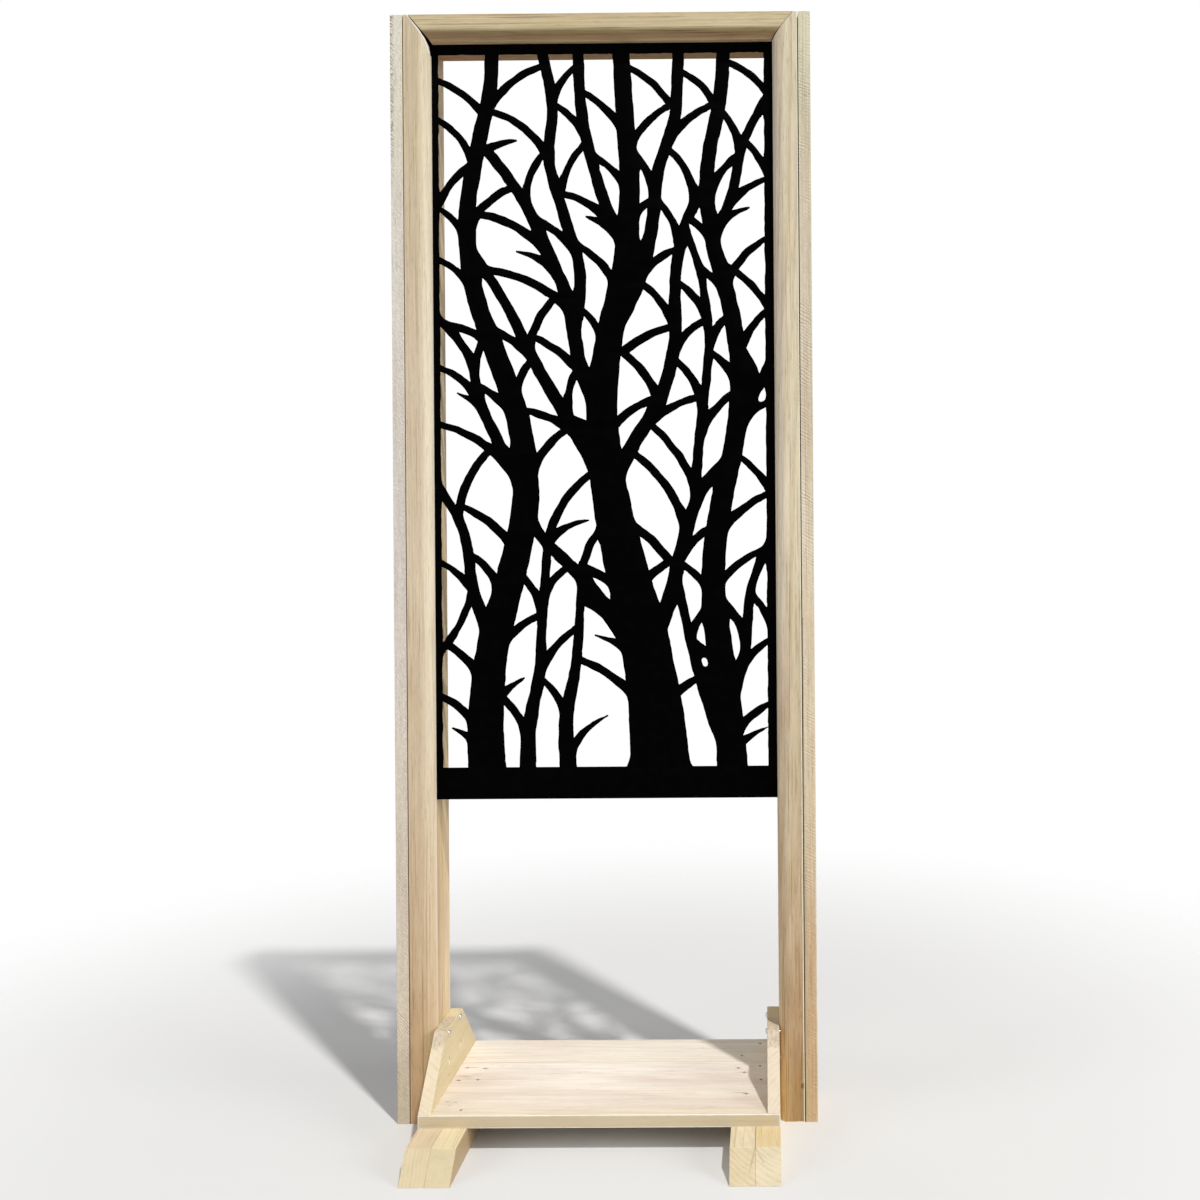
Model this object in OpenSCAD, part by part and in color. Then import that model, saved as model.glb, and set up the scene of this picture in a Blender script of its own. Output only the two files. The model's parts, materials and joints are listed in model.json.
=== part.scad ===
// Free-standing room divider: two timber posts joined by a mitred top rail, a black
// cut-out panel held in a rebate behind the front mouldings, and a shelf base with two
// trapezoid cleats and two pairs of foot blocks.
// Millimetres. X is the width, the front faces -Y, Z is up, z = 0 is the floor.
// The origin is under the middle of the feet; the posts and the shelf are drawn about their
// own middle and set back by post_y.

/* [Frame] */
// Overall height of the posts
frame_h = 1720; // [1640:5:1900]
// Clear width between the two posts
opening_w = 534; // [500:2:570]
// Depth of the posts, front to back
post_d = 89; // [84:1:100]
// Width of the front moulding on its face
stile_w = 38.5; // [36:0.5:44]
// Thickness of the front moulding
stile_t = 20; // [18:0.5:24]
// Radius of the rounded inner edge of the moulding
edge_r = 17.5; // [4:0.5:17.5]
// Width of the square land left on the stile above the mitre
mitre_land = 6; // [0:0.5:10]
// Open gap in the left mitre
mitre_gap_left = 1.2; // [0.2:0.1:2]
// Open gap in the right mitre
mitre_gap_right = 0.3; // [0.2:0.1:2]
// How far the core rail's back stands in from the backs of the posts
rail_setback = 9; // [0:1:20]

/* [Side boards] */
// Thickness of the side boards
side_t = 19; // [16:0.5:22]
// Shadow gap between a side board and the front moulding
shadow_gap = 1.3; // [0.5:0.1:3]

/* [Panel] */
// Height of the cut-out panel
panel_h = 1220; // [1160:10:1300]
// Thickness of the panel sheet
panel_t = 3; // [2:0.5:5]
// How far the panel is hidden behind a moulding at each side
panel_lap = 38; // [30:1:38]
// Plain border at the left side of the panel
border_left = 48; // [44:1:56]
// Plain border at the right side of the panel
border_right = 52; // [44:1:56]
// Plain border along the top of the panel
border_top = 53; // [46:1:60]
// Plain border along the bottom of the panel
border_bottom = 49.5; // [40:0.5:60]
// Scale of the branch widths
branch_k = 1; // [0.85:0.05:1.15]

/* [Base] */
// Thickness of the shelf boards and the cleats
board_t = 19; // [16:0.5:22]
// Depth of the shelf, front to back
shelf_d = 273; // [240:1:320]
// Depth of the rear shelf board
rear_board_d = 89; // [70:1:95]
// Height of a cleat above the shelf
cleat_h = 89; // [89:1:95]
// Length of a foot at the top
foot_top = 374; // [360:1:420]
// Height of a foot block
foot_h = 37; // [34:0.5:45]
// Width of one foot block
foot_w = 36.5; // [32:0.5:42]
// How far the middle of the posts and shelf stands behind the middle of the feet
post_y = 7.5; // [0:0.5:12]

/* [Hidden] */

$fn = 48;
e = 0.01;
slip = 0.05;                          // clearance around a screw or nail in its hole

hx = opening_w/2;                     // inner face of a post
fy = -post_d/2;                       // front plane
ry = post_d/2;                        // back plane
px = hx + stile_w + shadow_gap;       // inner face of a side board
py = fy + stile_t;                    // front face of the panel, back of the moulding
panel_w = opening_w + 2*panel_lap;
panel_z = frame_h - 1 - panel_h;      // bottom edge of the panel
rail_z = frame_h - stile_w;           // underside of the top rail
shelf_z = foot_h;                     // underside of the shelf
cleat_z = foot_h + board_t;           // top of the shelf
seam_y = shelf_d/2 - rear_board_d;    // joint between the two shelf boards
foot_bottom = foot_top + 2*foot_h;    // 45 degree ends
cleat_top = shelf_d - 2*cleat_h;      // 45 degree ends

wood_front = [0.84, 0.76, 0.63];
wood_core = [0.80, 0.70, 0.55];
wood_shelf = [0.95, 0.90, 0.80];
wood_cleat = [0.88, 0.80, 0.60];
wood_foot = [0.91, 0.84, 0.67];
wood_sawn = [0.80, 0.77, 0.71];
panel_black = [0.03, 0.03, 0.035];
steel = [0.72, 0.73, 0.76];

// ------------------------------------------------------------------ fasteners
// A countersunk wood screw, head face on z = 0, driven along -z; solid = true gives the
// screw, false the hole that it sits in, which runs on above the head by sink
module csk(d, l, solid, sink = 0) {
    hd = 2*d;
    g = solid ? 0 : slip;
    hh = (hd - d)/2;
    rotate_extrude($fn = 32)
        if (solid)
            difference() {
                polygon([[0, 0], [hd/2, 0], [hd/2, -0.4], [d/2, -0.4 - hh], [d/2, -l + d], [0, -l]]);
                // round socket for the driver
                polygon([[-e, e], [d*0.35, e], [d*0.3, -d*0.45], [-e, -d*0.6]]);
            }
        else
            polygon([[0, sink + e], [hd/2 + g, sink + e], [hd/2 + g, -0.4 - g], [d/2 + g, -0.4 - hh - g], [d/2 + g, -l - 1], [0, -l - 1]]);
}
// Pan-headed wood screw, seated on z = 0 with its head above, driven along -z
module pan(d, l, solid) {
    hd = 2.15*d;
    rotate_extrude($fn = 32)
        if (solid)
            difference() {
                polygon([[0, 0.68*d], [0.16*hd, 0.66*d], [0.32*hd, 0.55*d], [0.43*hd, 0.38*d], [hd/2, 0.16*d],
                         [hd/2, 0], [d/2, 0], [d/2, -l + d], [0, -l]]);
                polygon([[-e, d], [d*0.3, d], [d*0.24, 0.2*d], [-e, 0.12*d]]);
            }
        else
            polygon([[0, 1], [d/2 + slip, 1], [d/2 + slip, -l - 1], [0, -l - 1]]);
}
// Flat-headed nail, head face on z = 0, driven along -z
module nail(d, l, solid) {
    g = solid ? 0 : slip;
    rotate_extrude($fn = 32)
        if (solid) polygon([[0, 0], [d, 0], [d, -1], [d/2, -1.4], [d/2, -l + d], [0, -l]]);
        else polygon([[0, 3], [d + g, 3], [d + g, -1 - g], [d/2 + g, -1.4 - g], [d/2 + g, -l - 1], [0, -l - 1]]);
}

// Screws from the back through core and panel into the front mouldings: [x, z]
moulding_at = concat(
    [for (s = [-1, 1]) for (z = [110, 420, 720, 1020, 1320, 1600]) [s*(hx + stile_w/2), z*frame_h/1720]],
    [for (x = [-0.62, 0, 0.62]) [x*hx, rail_z + stile_w*0.55]]);
mould_bore = 22;                      // depth of the counterbore at the back
module moulding_screw_set(solid) {
    for (p = moulding_at) {
        back = abs(p[0]) > hx ? ry : ry - rail_setback;
        translate([p[0], back - mould_bore, p[1]]) rotate([-90, 0, 0])
            csk(4.5, back - mould_bore - fy - 8, solid);
        if (!solid)
            translate([p[0], back - mould_bore - e, p[1]]) rotate([-90, 0, 0])
                cylinder(d = 11, h = mould_bore + 1);
    }
}

// Screws through the side boards into the core posts: [y, z]
side_at = [for (z = [90, 520, 960, 1400, 1650]) for (y = [4, 26]) [y, z*frame_h/1720]];
module side_screw_set(s, solid) {
    for (i = [0:len(side_at) - 1]) if (i % 2 == (floor(i/2) % 2))
        translate([s*(px + side_t - 0.1), side_at[i][0], side_at[i][1]]) rotate([0, s*90, 0]) csk(4, 45, solid);
}

// Screws through the core posts into the ends of the core top rail
module corner_screw_set(s, solid) {
    for (y = [-8, 20])
        translate([s*(px - 0.1), y, rail_z + stile_w*(y < 0 ? 0.3 : 0.7)]) rotate([0, s*90, 0]) csk(5, 90, solid);
}

// Screws through the cleats into the posts: [y, height above the shelf, depth that a countersunk
// head is driven to, or 0 for a pan head that stands on the cleat]
cleat_at = [[-33, 81, 0], [32, 81, 0], [-33, 40, 2], [33, 40, 2]];
module cleat_screw_set(s, solid) {
    for (p = cleat_at)
        translate([s*(hx - board_t + p[2]), p[0], cleat_z + p[1]]) rotate([0, -s*90, 0])
            if (p[2] > 0) csk(4, 42, solid, p[2]);
            else pan(4, 42, solid);
}

// Screws up through the shelf into the cleats
module cleat_base_screw_set(s, solid) {
    for (y = [-100, 0, 100])
        translate([s*(hx - board_t/2), y, shelf_z + 0.1]) rotate([180, 0, 0]) csk(4, y == 0 ? 45 : 38, solid);
}

// Nails through the shelf into the foot blocks: [x, y]
nail_at = [[-258, -60], [-208, -118], [-238, -18], [-208, -16], [-236, 28], [-206, 25], [-258, 120], [-258, 70],
           [258, -60], [215, -69], [238, -20], [211, 6], [201, 22], [236, 30], [236, 118], [206, 70]];
nail_sink = 1.5;                      // depth that the heads are punched to
module nail_set(solid) {
    for (p = nail_at)
        translate([sign(p[0])*(hx - 267 + abs(p[0])), p[1], cleat_z - nail_sink]) nail(2.6, 46, solid);
}

// ------------------------------------------------------------------ frame
module side_board(s) {
    x0 = s > 0 ? px : -px - side_t;
    difference() {
        translate([x0, fy, 0]) cube([side_t, post_d, frame_h]);
        side_screw_set(s, false);
    }
}
module side_board_left() color(wood_sawn) side_board(-1);
module side_board_right() color(wood_front) side_board(1);

// Section of the front moulding: u runs from its inner edge outwards, v from its face back
module moulding_section() {
    union() {
        translate([edge_r, 0]) square([stile_w - edge_r, stile_t]);
        translate([0, edge_r]) square([stile_w, stile_t - edge_r]);
        intersection() {
            translate([edge_r, edge_r]) circle(r = edge_r, $fn = 96);
            square([edge_r + e, edge_r + e]);
        }
    }
}
// Everything on the rail's side of the mitre; grow moves the cut towards the stile
module mitre_side(s, grow) {
    a = [hx, rail_z];
    b = [hx + stile_w - mitre_land, frame_h];
    d = (b - a)/norm(b - a);
    n = [d[1], -d[0]];                // points towards the stile
    p = a + n*grow - d*60;
    q = b + n*grow + d*60;
    translate([0, fy - 1, 0]) rotate([90, 0, 0]) mirror([0, 0, 1])
        linear_extrude(stile_t + 2)
            polygon(s > 0 ? [p, q, [0, frame_h + 60], [0, rail_z - 60]]
                          : [[-p[0], p[1]], [-q[0], q[1]], [0, frame_h + 60], [0, rail_z - 60]]);
}
// The left stile is cut back further near its rounded edge, so that its mitre gapes there
module mitre_relief() {
    translate([0, fy - 1, 0]) rotate([90, 0, 0]) mirror([0, 0, 1])
        linear_extrude(stile_t + 2)
            polygon([[-hx - 14, rail_z + 17], [-hx - 5.1, rail_z + 3.8], [-hx - 2.2, rail_z - 4],
                     [-hx - 1.2, rail_z - 9.5], [-hx - 0.2, rail_z - 17], [-hx + 5, rail_z - 17], [-hx + 5, rail_z + 17]]);
}
module stile(s) {
    difference() {
        translate([s*hx, fy, 0]) mirror([s > 0 ? 0 : 1, 0, 0])
            linear_extrude(frame_h) moulding_section();
        mitre_side(s, 0);
        if (s < 0) mitre_relief();
        moulding_screw_set(false);
        cleat_screw_set(s, false);
    }
}
module front_stile_left() color(wood_front) stile(-1);
module front_stile_right() color(wood_front) stile(1);
module front_top_rail() color(wood_front)
    difference() {
        intersection() {
            translate([-hx - stile_w, fy, rail_z]) rotate([90, 0, 90])
                linear_extrude(2*(hx + stile_w))
                    rotate([0, 0, 90]) mirror([0, 1, 0]) moulding_section();
            union() {
                mitre_side(-1, -mitre_gap_left);
                mitre_side(1, -mitre_gap_right);
            }
        }
        moulding_screw_set(false);
    }

module core_post(s) {
    difference() {
        translate([s > 0 ? hx : -px, py, 0]) cube([px - hx, ry - py, frame_h]);
        // rebate that takes the panel
        translate([s > 0 ? hx - 1 : -hx - panel_lap - 0.5, py - 1, panel_z - 0.5])
            cube([panel_lap + 1.5, panel_t + 1, frame_h]);
        moulding_screw_set(false);
        side_screw_set(s, false);
        corner_screw_set(s, false);
        cleat_screw_set(s, false);
    }
}
module core_post_left() color(wood_core) core_post(-1);
module core_post_right() color(wood_core) core_post(1);
module core_top_rail() color(wood_core)
    difference() {
        translate([-hx, py + panel_t, rail_z]) cube([2*hx, ry - rail_setback - py - panel_t, stile_w]);
        moulding_screw_set(false);
        corner_screw_set(-1, false);
        corner_screw_set(1, false);
    }

// ------------------------------------------------------------------ branch panel
// Points are [x, z] on a sheet 610 wide and 1220 high, x from its centre line and z from
// its bottom edge. Each limb starts at its lowest point and rises.
kx = panel_w/610;
kz = panel_h/1220;
LEFT = 0; RIGHT = 1; ELM = 2; ASH = 3; OAK = 4;
A1 = 5; A2 = 6; A3 = 7; A4 = 8; A5 = 9; B1 = 10; B2 = 11; B3 = 12; B4 = 13; B5 = 14;
C1 = 15; E1 = 16; E2 = 17; D1 = 18; D2 = 19; G2 = 20; H1 = 21;
limb_points = [
    [[-266, 0], [-266, 1220]],
    [[266, 0], [266, 1220]],
    [[-186, 20], [-190, 120], [-178, 240], [-148, 350], [-124, 470], [-134, 590], [-170, 700], [-204, 800], [-214, 910], [-196, 1020], [-176, 1110], [-172, 1195]],
    [[198, 20], [192, 120], [178, 230], [168, 340], [180, 450], [204, 560], [212, 670], [196, 780], [170, 880], [164, 990], [184, 1090], [192, 1195]],
    [[86, 20], [78, 130], [60, 250], [30, 370], [6, 490], [-4, 610], [10, 730], [34, 840], [42, 950], [36, 1060], [28, 1195]],
    // left of the main trunk
    [[70, 170], [30, 250], [-16, 320], [-60, 370], [-100, 410], [-126, 465]],
    [[14, 450], [-26, 540], [-72, 620], [-112, 690], [-150, 770], [-206, 860]],
    [[-4, 590], [-38, 680], [-56, 780], [-92, 870], [-132, 950], [-192, 1030]],
    [[-46, 720], [-36, 820], [-60, 910], [-84, 1000], [-78, 1090], [-100, 1195]],
    [[36, 850], [4, 930], [-20, 1010], [-34, 1090], [-38, 1195]],
    // right of the main trunk
    [[64, 220], [100, 310], [122, 400], [150, 480], [200, 540]],
    [[6, 480], [48, 560], [90, 630], [112, 720], [112, 810], [130, 900], [166, 970]],
    [[10, 720], [52, 800], [76, 890], [86, 980], [114, 1070], [120, 1195]],
    [[200, 540], [228, 610], [266, 700]],
    [[172, 870], [204, 950], [222, 1030], [266, 1110]],
    [[192, 130], [218, 230], [228, 330], [266, 420]],
    // left of the left trunk
    [[-178, 240], [-208, 330], [-222, 420], [-266, 500]],
    [[-124, 470], [-162, 550], [-194, 620], [-214, 700], [-266, 760]],
    // shoots from the ground
    [[-58, 20], [-64, 120], [-46, 220], [-38, 345]],
    [[194, 60], [160, 150], [134, 240], [112, 345]],
    [[140, 455], [148, 560], [160, 650], [164, 740], [150, 830], [128, 895]],
    [[-124, 20], [-122, 110], [-104, 200], [-100, 290], [-90, 400]]
];
// Width at the foot, width at the tip and taper power of each limb
limb_w = [[1, 1, 1], [1, 1, 1], [62, 21, 1.6], [50, 21, 1.7], [98, 27, 1.7],
          [28, 14, 1], [26, 14, 1], [24, 16, 1], [18, 17, 1], [19, 17, 1],
          [28, 15, 1], [25, 15, 1], [22, 18, 1], [16, 12, 1], [17, 13, 1],
          [20, 12, 1], [22, 12, 1], [20, 12, 1], [30, 13, 1.5], [28, 13, 1.5], [16, 11, 1], [28, 13, 1.5]];
twig_foot = 1.18;                     // twigs are wider at their foot than listed, and finer at their tip
twig_tip = 0.92;

function spline(a, b, c, d, t) =
    0.5*(2*b + (c - a)*t + (2*a - 5*b + 4*c - d)*t*t + (3*b - a - 3*c + d)*t*t*t);
function smooth(p, n) =
    [for (i = [0:len(p) - 2]) for (k = [0:n - 1])
        spline(p[max(0, i - 1)], p[i], p[i + 1], p[min(len(p) - 1, i + 2)], k/n),
     p[len(p) - 1]];
limbs = [for (p = limb_points) smooth(p, len(p) > 2 ? 3 : 1)];

// Point of limb c at height z
function at(c, z) =
    let (h = [for (i = [0:len(c) - 2]) if (c[i][1] <= z && z <= c[i + 1][1]) i])
    len(h) == 0 ? (z < c[0][1] ? c[0] : c[len(c) - 1])
                : let (i = h[0], f = (z - c[i][1])/(c[i + 1][1] - c[i][1])) c[i] + (c[i + 1] - c[i])*f;
function side_of(c, i) =
    let (d = c[min(len(c) - 1, i + 1)] - c[max(0, i - 1)]) [-d[1], d[0]]/norm(d);
module ribbon(c, w0, w1, p = 1) {
    n = len(c) - 1;
    w = [for (i = [0:n]) branch_k*(w1 + (w0 - w1)*pow(1 - i/n, p))/2];
    polygon(concat([for (i = [0:n]) c[i] + side_of(c, i)*w[i]],
                   [for (i = [n:-1:0]) c[i] - side_of(c, i)*w[i]]));
}
// An arc from a to b that bows sideways
function arc(a, b, bow, n) =
    let (d = b - a, s = [-d[1], d[0]]/norm(d), m = (a + b)/2 + 2*bow*s)
    [for (i = [0:n]) let (t = i/n) a*(1 - t)*(1 - t) + 2*m*t*(1 - t) + b*t*t];

// Twigs: from one limb at a height to another limb at a height, bow, widths at both ends.
// A twig that rises to the left peels off its limb with a negative bow, to the right with a positive one.
twigs = [
    // left border, low to high
    [ELM, 80, LEFT, 165, -14, 16, 11], [ELM, 165, LEFT, 250, -14, 14, 11], [LEFT, 225, E1, 335, -10, 11, 12],
    [E1, 310, LEFT, 375, -10, 12, 10], [ELM, 300, E1, 385, -14, 14, 12], [ELM, 385, E1, 465, -14, 14, 11],
    [E1, 440, E2, 560, 14, 12, 12], [E2, 510, LEFT, 590, -14, 14, 11], [E2, 610, LEFT, 680, -12, 13, 10],
    [ELM, 560, E2, 650, -14, 14, 12], [E2, 640, ELM, 730, 12, 12, 12], [ELM, 700, E2, 745, -10, 13, 11],
    [ELM, 770, LEFT, 850, -14, 14, 10], [ELM, 860, LEFT, 930, -12, 13, 10], [LEFT, 905, ELM, 1000, 12, 10, 12],
    [ELM, 990, LEFT, 1070, -12, 12, 10], [ELM, 1070, LEFT, 1130, -8, 11, 10],
    // low left
    [H1, 90, ELM, 175, -12, 13, 12], [ELM, 200, H1, 290, 14, 14, 12], [H1, 280, ELM, 360, -12, 12, 12],
    [D1, 110, H1, 190, -12, 12, 12], [H1, 180, D1, 270, 12, 12, 12], [H1, 300, A1, 365, 10, 12, 12],
    [OAK, 110, D1, 220, -16, 16, 12], [A1, 240, D1, 310, -12, 14, 12],
    [OAK, 300, A1, 370, -12, 15, 12], [A1, 345, OAK, 440, 14, 12, 13],
    // between the left trunk and the main trunk
    [A1, 400, A2, 515, 14, 13, 12], [ELM, 480, A2, 585, 14, 14, 12], [A2, 560, ELM, 610, -12, 13, 12],
    [ELM, 600, A2, 690, 12, 13, 12], [A2, 680, ELM, 740, -8, 12, 12],
    [OAK, 530, A2, 600, -14, 15, 12], [A2, 585, A3, 680, 12, 12, 12], [A3, 650, A2, 730, -14, 13, 12],
    [A2, 700, A3, 795, 14, 12, 12], [A3, 765, A2, 830, -14, 13, 12],
    [A3, 850, ELM, 920, -16, 13, 12], [ELM, 880, A3, 960, 14, 12, 12],
    [A4, 1000, ELM, 1080, -16, 12, 11], [A3, 930, A4, 1020, 12, 12, 11], [ELM, 1070, A4, 1150, 14, 12, 10],
    [A4, 850, A3, 910, -8, 11, 11],
    [OAK, 690, A4, 770, -10, 13, 11], [OAK, 790, A4, 870, -12, 14, 11], [A5, 890, A4, 950, -12, 12, 11], [A4, 930, A5, 1030, 12, 12, 11],
    [A5, 1010, A4, 1090, -12, 12, 10], [A4, 1080, A5, 1150, 10, 11, 10],
    [OAK, 940, A5, 1010, -10, 12, 11], [OAK, 1030, A5, 1110, -10, 12, 10],
    // right of the main trunk, low to high
    [OAK, 110, D2, 190, 12, 15, 12], [ASH, 160, D2, 250, -12, 13, 12],
    [D2, 235, ASH, 305, 12, 12, 12], [ASH, 290, B1, 370, -12, 13, 12], [B1, 350, ASH, 430, 12, 12, 12],
    [OAK, 310, B1, 375, 12, 15, 12], [B1, 350, OAK, 440, -14, 13, 13], [B1, 420, B2, 545, -14, 14, 12],
    [B1, 470, B2, 590, -12, 12, 12], [B2, 560, G2, 630, 14, 13, 12], [G2, 600, B2, 690, -12, 12, 12],
    [B2, 680, G2, 750, 12, 13, 12], [G2, 730, B2, 810, -12, 12, 12],
    [G2, 560, ASH, 640, 10, 12, 12], [ASH, 620, G2, 700, -12, 13, 12], [G2, 680, ASH, 760, 10, 12, 12],
    [ASH, 750, G2, 830, -12, 13, 11], [ASH, 830, B2, 910, -10, 12, 11],
    [OAK, 560, B2, 630, 12, 14, 12], [B2, 620, OAK, 710, -14, 13, 13], [OAK, 670, B2, 740, 12, 14, 12],
    [B2, 720, B3, 810, -12, 12, 12], [B3, 800, B2, 860, 12, 13, 12], [B2, 850, B3, 940, -12, 12, 11],
    [OAK, 880, B3, 940, 10, 12, 11], [B3, 930, OAK, 1020, -12, 12, 12], [OAK, 1010, B3, 1090, 12, 12, 11],
    [B3, 1070, OAK, 1150, -12, 11, 10],
    [B2, 930, B3, 1020, -12, 13, 11], [B3, 1010, ASH, 1090, 14, 12, 11], [ASH, 1070, B3, 1140, -12, 12, 10],
    // right border, low to high
    [ASH, 80, RIGHT, 150, 12, 15, 11], [C1, 190, RIGHT, 250, 10, 13, 11], [RIGHT, 225, C1, 320, -10, 10, 12],
    [C1, 240, ASH, 320, -10, 12, 12], [ASH, 320, C1, 390, 10, 13, 11], [ASH, 400, RIGHT, 480, 12, 14, 11],
    [RIGHT, 455, ASH, 540, -12, 10, 12], [B4, 590, RIGHT, 620, 6, 12, 10], [B4, 640, ASH, 710, -8, 11, 12],
    [ASH, 680, RIGHT, 770, 12, 13, 11], [RIGHT, 750, ASH, 840, -12, 10, 12], [ASH, 800, RIGHT, 880, 12, 13, 10],
    [B5, 920, RIGHT, 970, 10, 12, 10], [RIGHT, 945, B5, 1030, -8, 10, 11], [ASH, 930, B5, 1010, 10, 12, 11],
    [B5, 1000, ASH, 1080, -10, 11, 12], [RIGHT, 1090, ASH, 1155, -10, 10, 11]
];
// Thorns: short pointed twigs that end inside an opening: limb, height, dx, dz, bow, width
thorns = [
    [ELM, 120, 62, 70, 9, 26], [D1, 60, 64, 70, 11, 19], [ELM, 60, -54, 52, -8, 22], [ASH, 60, 52, 48, 8, 20],
    [OAK, 190, -88, 66, -12, 28], [E2, 585, -52, 52, -8, 18], [A1, 400, 66, 36, 8, 18],
    [A3, 812, -70, 46, -10, 20], [ASH, 880, 60, 44, 8, 20], [ELM, 1000, 66, 32, 8, 20], [OAK, 862, -64, 50, -9, 24]
];
// Root flares at the foot of a trunk: limb, height, x where the flare meets the border
flares = [[OAK, 150, 22], [OAK, 150, 146], [ELM, 110, -230], [ELM, 120, -146], [ASH, 100, 230], [ASH, 60, 168]];

module branches() {
    for (i = [2:len(limbs) - 1]) ribbon(limbs[i], limb_w[i][0], limb_w[i][1], limb_w[i][2]);
    for (t = twigs) ribbon(arc(at(limbs[t[0]], t[1]), at(limbs[t[2]], t[3]), t[4], 4), twig_foot*t[5], twig_tip*t[6]);
    for (t = thorns) ribbon(arc(at(limbs[t[0]], t[1]), at(limbs[t[0]], t[1]) + [t[2], t[3]], t[4], 4), t[5], 2.5, 0.9);
    for (f = flares) polygon([at(limbs[f[0]], f[1]), [f[2], 30], [at(limbs[f[0]], 30)[0], 20]]);
}
module panel_outline() {
    difference() {
        // the closing offsets fill the sharp corners where branches meet
        offset(r = -4, $fn = 8) offset(r = 4, $fn = 8) {
            scale([kx, kz]) branches();
            difference() {
                translate([-panel_w/2, 0]) square([panel_w, panel_h]);
                translate([-panel_w/2 + border_left, border_bottom])
                    square([panel_w - border_left - border_right, panel_h - border_bottom - border_top]);
            }
        }
        // holes that the moulding screws pass through
        for (p = moulding_at) if (p[1] > panel_z + 8) translate([p[0], p[1] - panel_z]) circle(d = 5, $fn = 32);
    }
}
module branch_panel() color(panel_black)
    translate([0, py, panel_z]) rotate([90, 0, 0]) mirror([0, 0, 1]) linear_extrude(panel_t) panel_outline();

// ------------------------------------------------------------------ base
module shelf_front_board() color(wood_shelf)
    difference() {
        translate([-hx, -shelf_d/2, shelf_z]) cube([2*hx, shelf_d/2 + seam_y - 0.3, board_t]);
        nail_set(false);
        cleat_base_screw_set(-1, false);
        cleat_base_screw_set(1, false);
    }
module shelf_rear_board() color(wood_shelf)
    difference() {
        translate([-hx, seam_y, shelf_z]) cube([2*hx, rear_board_d, board_t]);
        nail_set(false);
        cleat_base_screw_set(-1, false);
        cleat_base_screw_set(1, false);
    }
module cleat(s) {
    difference() {
        translate([s > 0 ? hx - board_t : -hx, 0, cleat_z]) rotate([90, 0, 90])
            linear_extrude(board_t)
                polygon([[-shelf_d/2, 0], [shelf_d/2, 0], [cleat_top/2, cleat_h], [-cleat_top/2, cleat_h]]);
        cleat_screw_set(s, false);
        cleat_base_screw_set(s, false);
    }
}
module cleat_left() color(wood_cleat) cleat(-1);
module cleat_right() color(wood_cleat) cleat(1);

module foot(x0) {
    difference() {
        translate([x0, 0, 0]) rotate([90, 0, 90])
            linear_extrude(foot_w)
                polygon([[-foot_bottom/2, 0], [foot_bottom/2, 0], [foot_top/2, foot_h], [-foot_top/2, foot_h]]);
        translate([0, post_y, 0]) nail_set(false);
    }
}
module foot_left_outer() color(wood_foot) foot(-hx);
module foot_left_inner() color(wood_foot) foot(-hx + foot_w);
module foot_right_inner() color(wood_foot) foot(hx - 2*foot_w);
module foot_right_outer() color(wood_foot) foot(hx - foot_w);

// ------------------------------------------------------------------ fastener groups
module moulding_screws() color(steel) moulding_screw_set(true);
module side_board_screws() color(steel) { side_screw_set(-1, true); side_screw_set(1, true); }
module corner_screws() color(steel) { corner_screw_set(-1, true); corner_screw_set(1, true); }
module cleat_screws() color(steel) { cleat_screw_set(-1, true); cleat_screw_set(1, true); }
module cleat_base_screws() color(steel) { cleat_base_screw_set(-1, true); cleat_base_screw_set(1, true); }
module shelf_nails() color(steel) nail_set(true);

translate([0, post_y, 0]) side_board_left();
translate([0, post_y, 0]) side_board_right();
translate([0, post_y, 0]) front_stile_left();
translate([0, post_y, 0]) front_stile_right();
translate([0, post_y, 0]) front_top_rail();
translate([0, post_y, 0]) core_post_left();
translate([0, post_y, 0]) core_post_right();
translate([0, post_y, 0]) core_top_rail();
translate([0, post_y, 0]) branch_panel();
translate([0, post_y, 0]) shelf_front_board();
translate([0, post_y, 0]) shelf_rear_board();
translate([0, post_y, 0]) cleat_left();
translate([0, post_y, 0]) cleat_right();
foot_left_outer();
foot_left_inner();
foot_right_inner();
foot_right_outer();
translate([0, post_y, 0]) moulding_screws();
translate([0, post_y, 0]) side_board_screws();
translate([0, post_y, 0]) corner_screws();
translate([0, post_y, 0]) cleat_screws();
translate([0, post_y, 0]) cleat_base_screws();
translate([0, post_y, 0]) shelf_nails();
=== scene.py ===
import json
import math
import random

import bmesh
import bpy
from mathutils import Matrix, Vector, noise


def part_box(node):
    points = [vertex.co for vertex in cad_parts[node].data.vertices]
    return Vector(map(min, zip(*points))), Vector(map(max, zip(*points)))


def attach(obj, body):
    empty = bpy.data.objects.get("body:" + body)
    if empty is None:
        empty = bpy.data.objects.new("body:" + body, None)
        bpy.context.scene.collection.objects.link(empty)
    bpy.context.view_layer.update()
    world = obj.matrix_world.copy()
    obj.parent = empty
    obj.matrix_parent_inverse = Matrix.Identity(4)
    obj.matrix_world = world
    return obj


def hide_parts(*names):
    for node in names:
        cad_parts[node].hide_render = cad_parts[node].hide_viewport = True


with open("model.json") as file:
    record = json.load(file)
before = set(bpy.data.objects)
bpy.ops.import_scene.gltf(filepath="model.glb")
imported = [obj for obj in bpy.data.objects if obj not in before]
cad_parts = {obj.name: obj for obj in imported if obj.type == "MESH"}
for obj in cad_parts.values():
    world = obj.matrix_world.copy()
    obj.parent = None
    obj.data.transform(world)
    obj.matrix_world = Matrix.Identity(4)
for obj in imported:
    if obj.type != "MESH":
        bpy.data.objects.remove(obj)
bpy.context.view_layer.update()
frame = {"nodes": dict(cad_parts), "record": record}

nodes = frame["nodes"]
scene = bpy.context.scene


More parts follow.
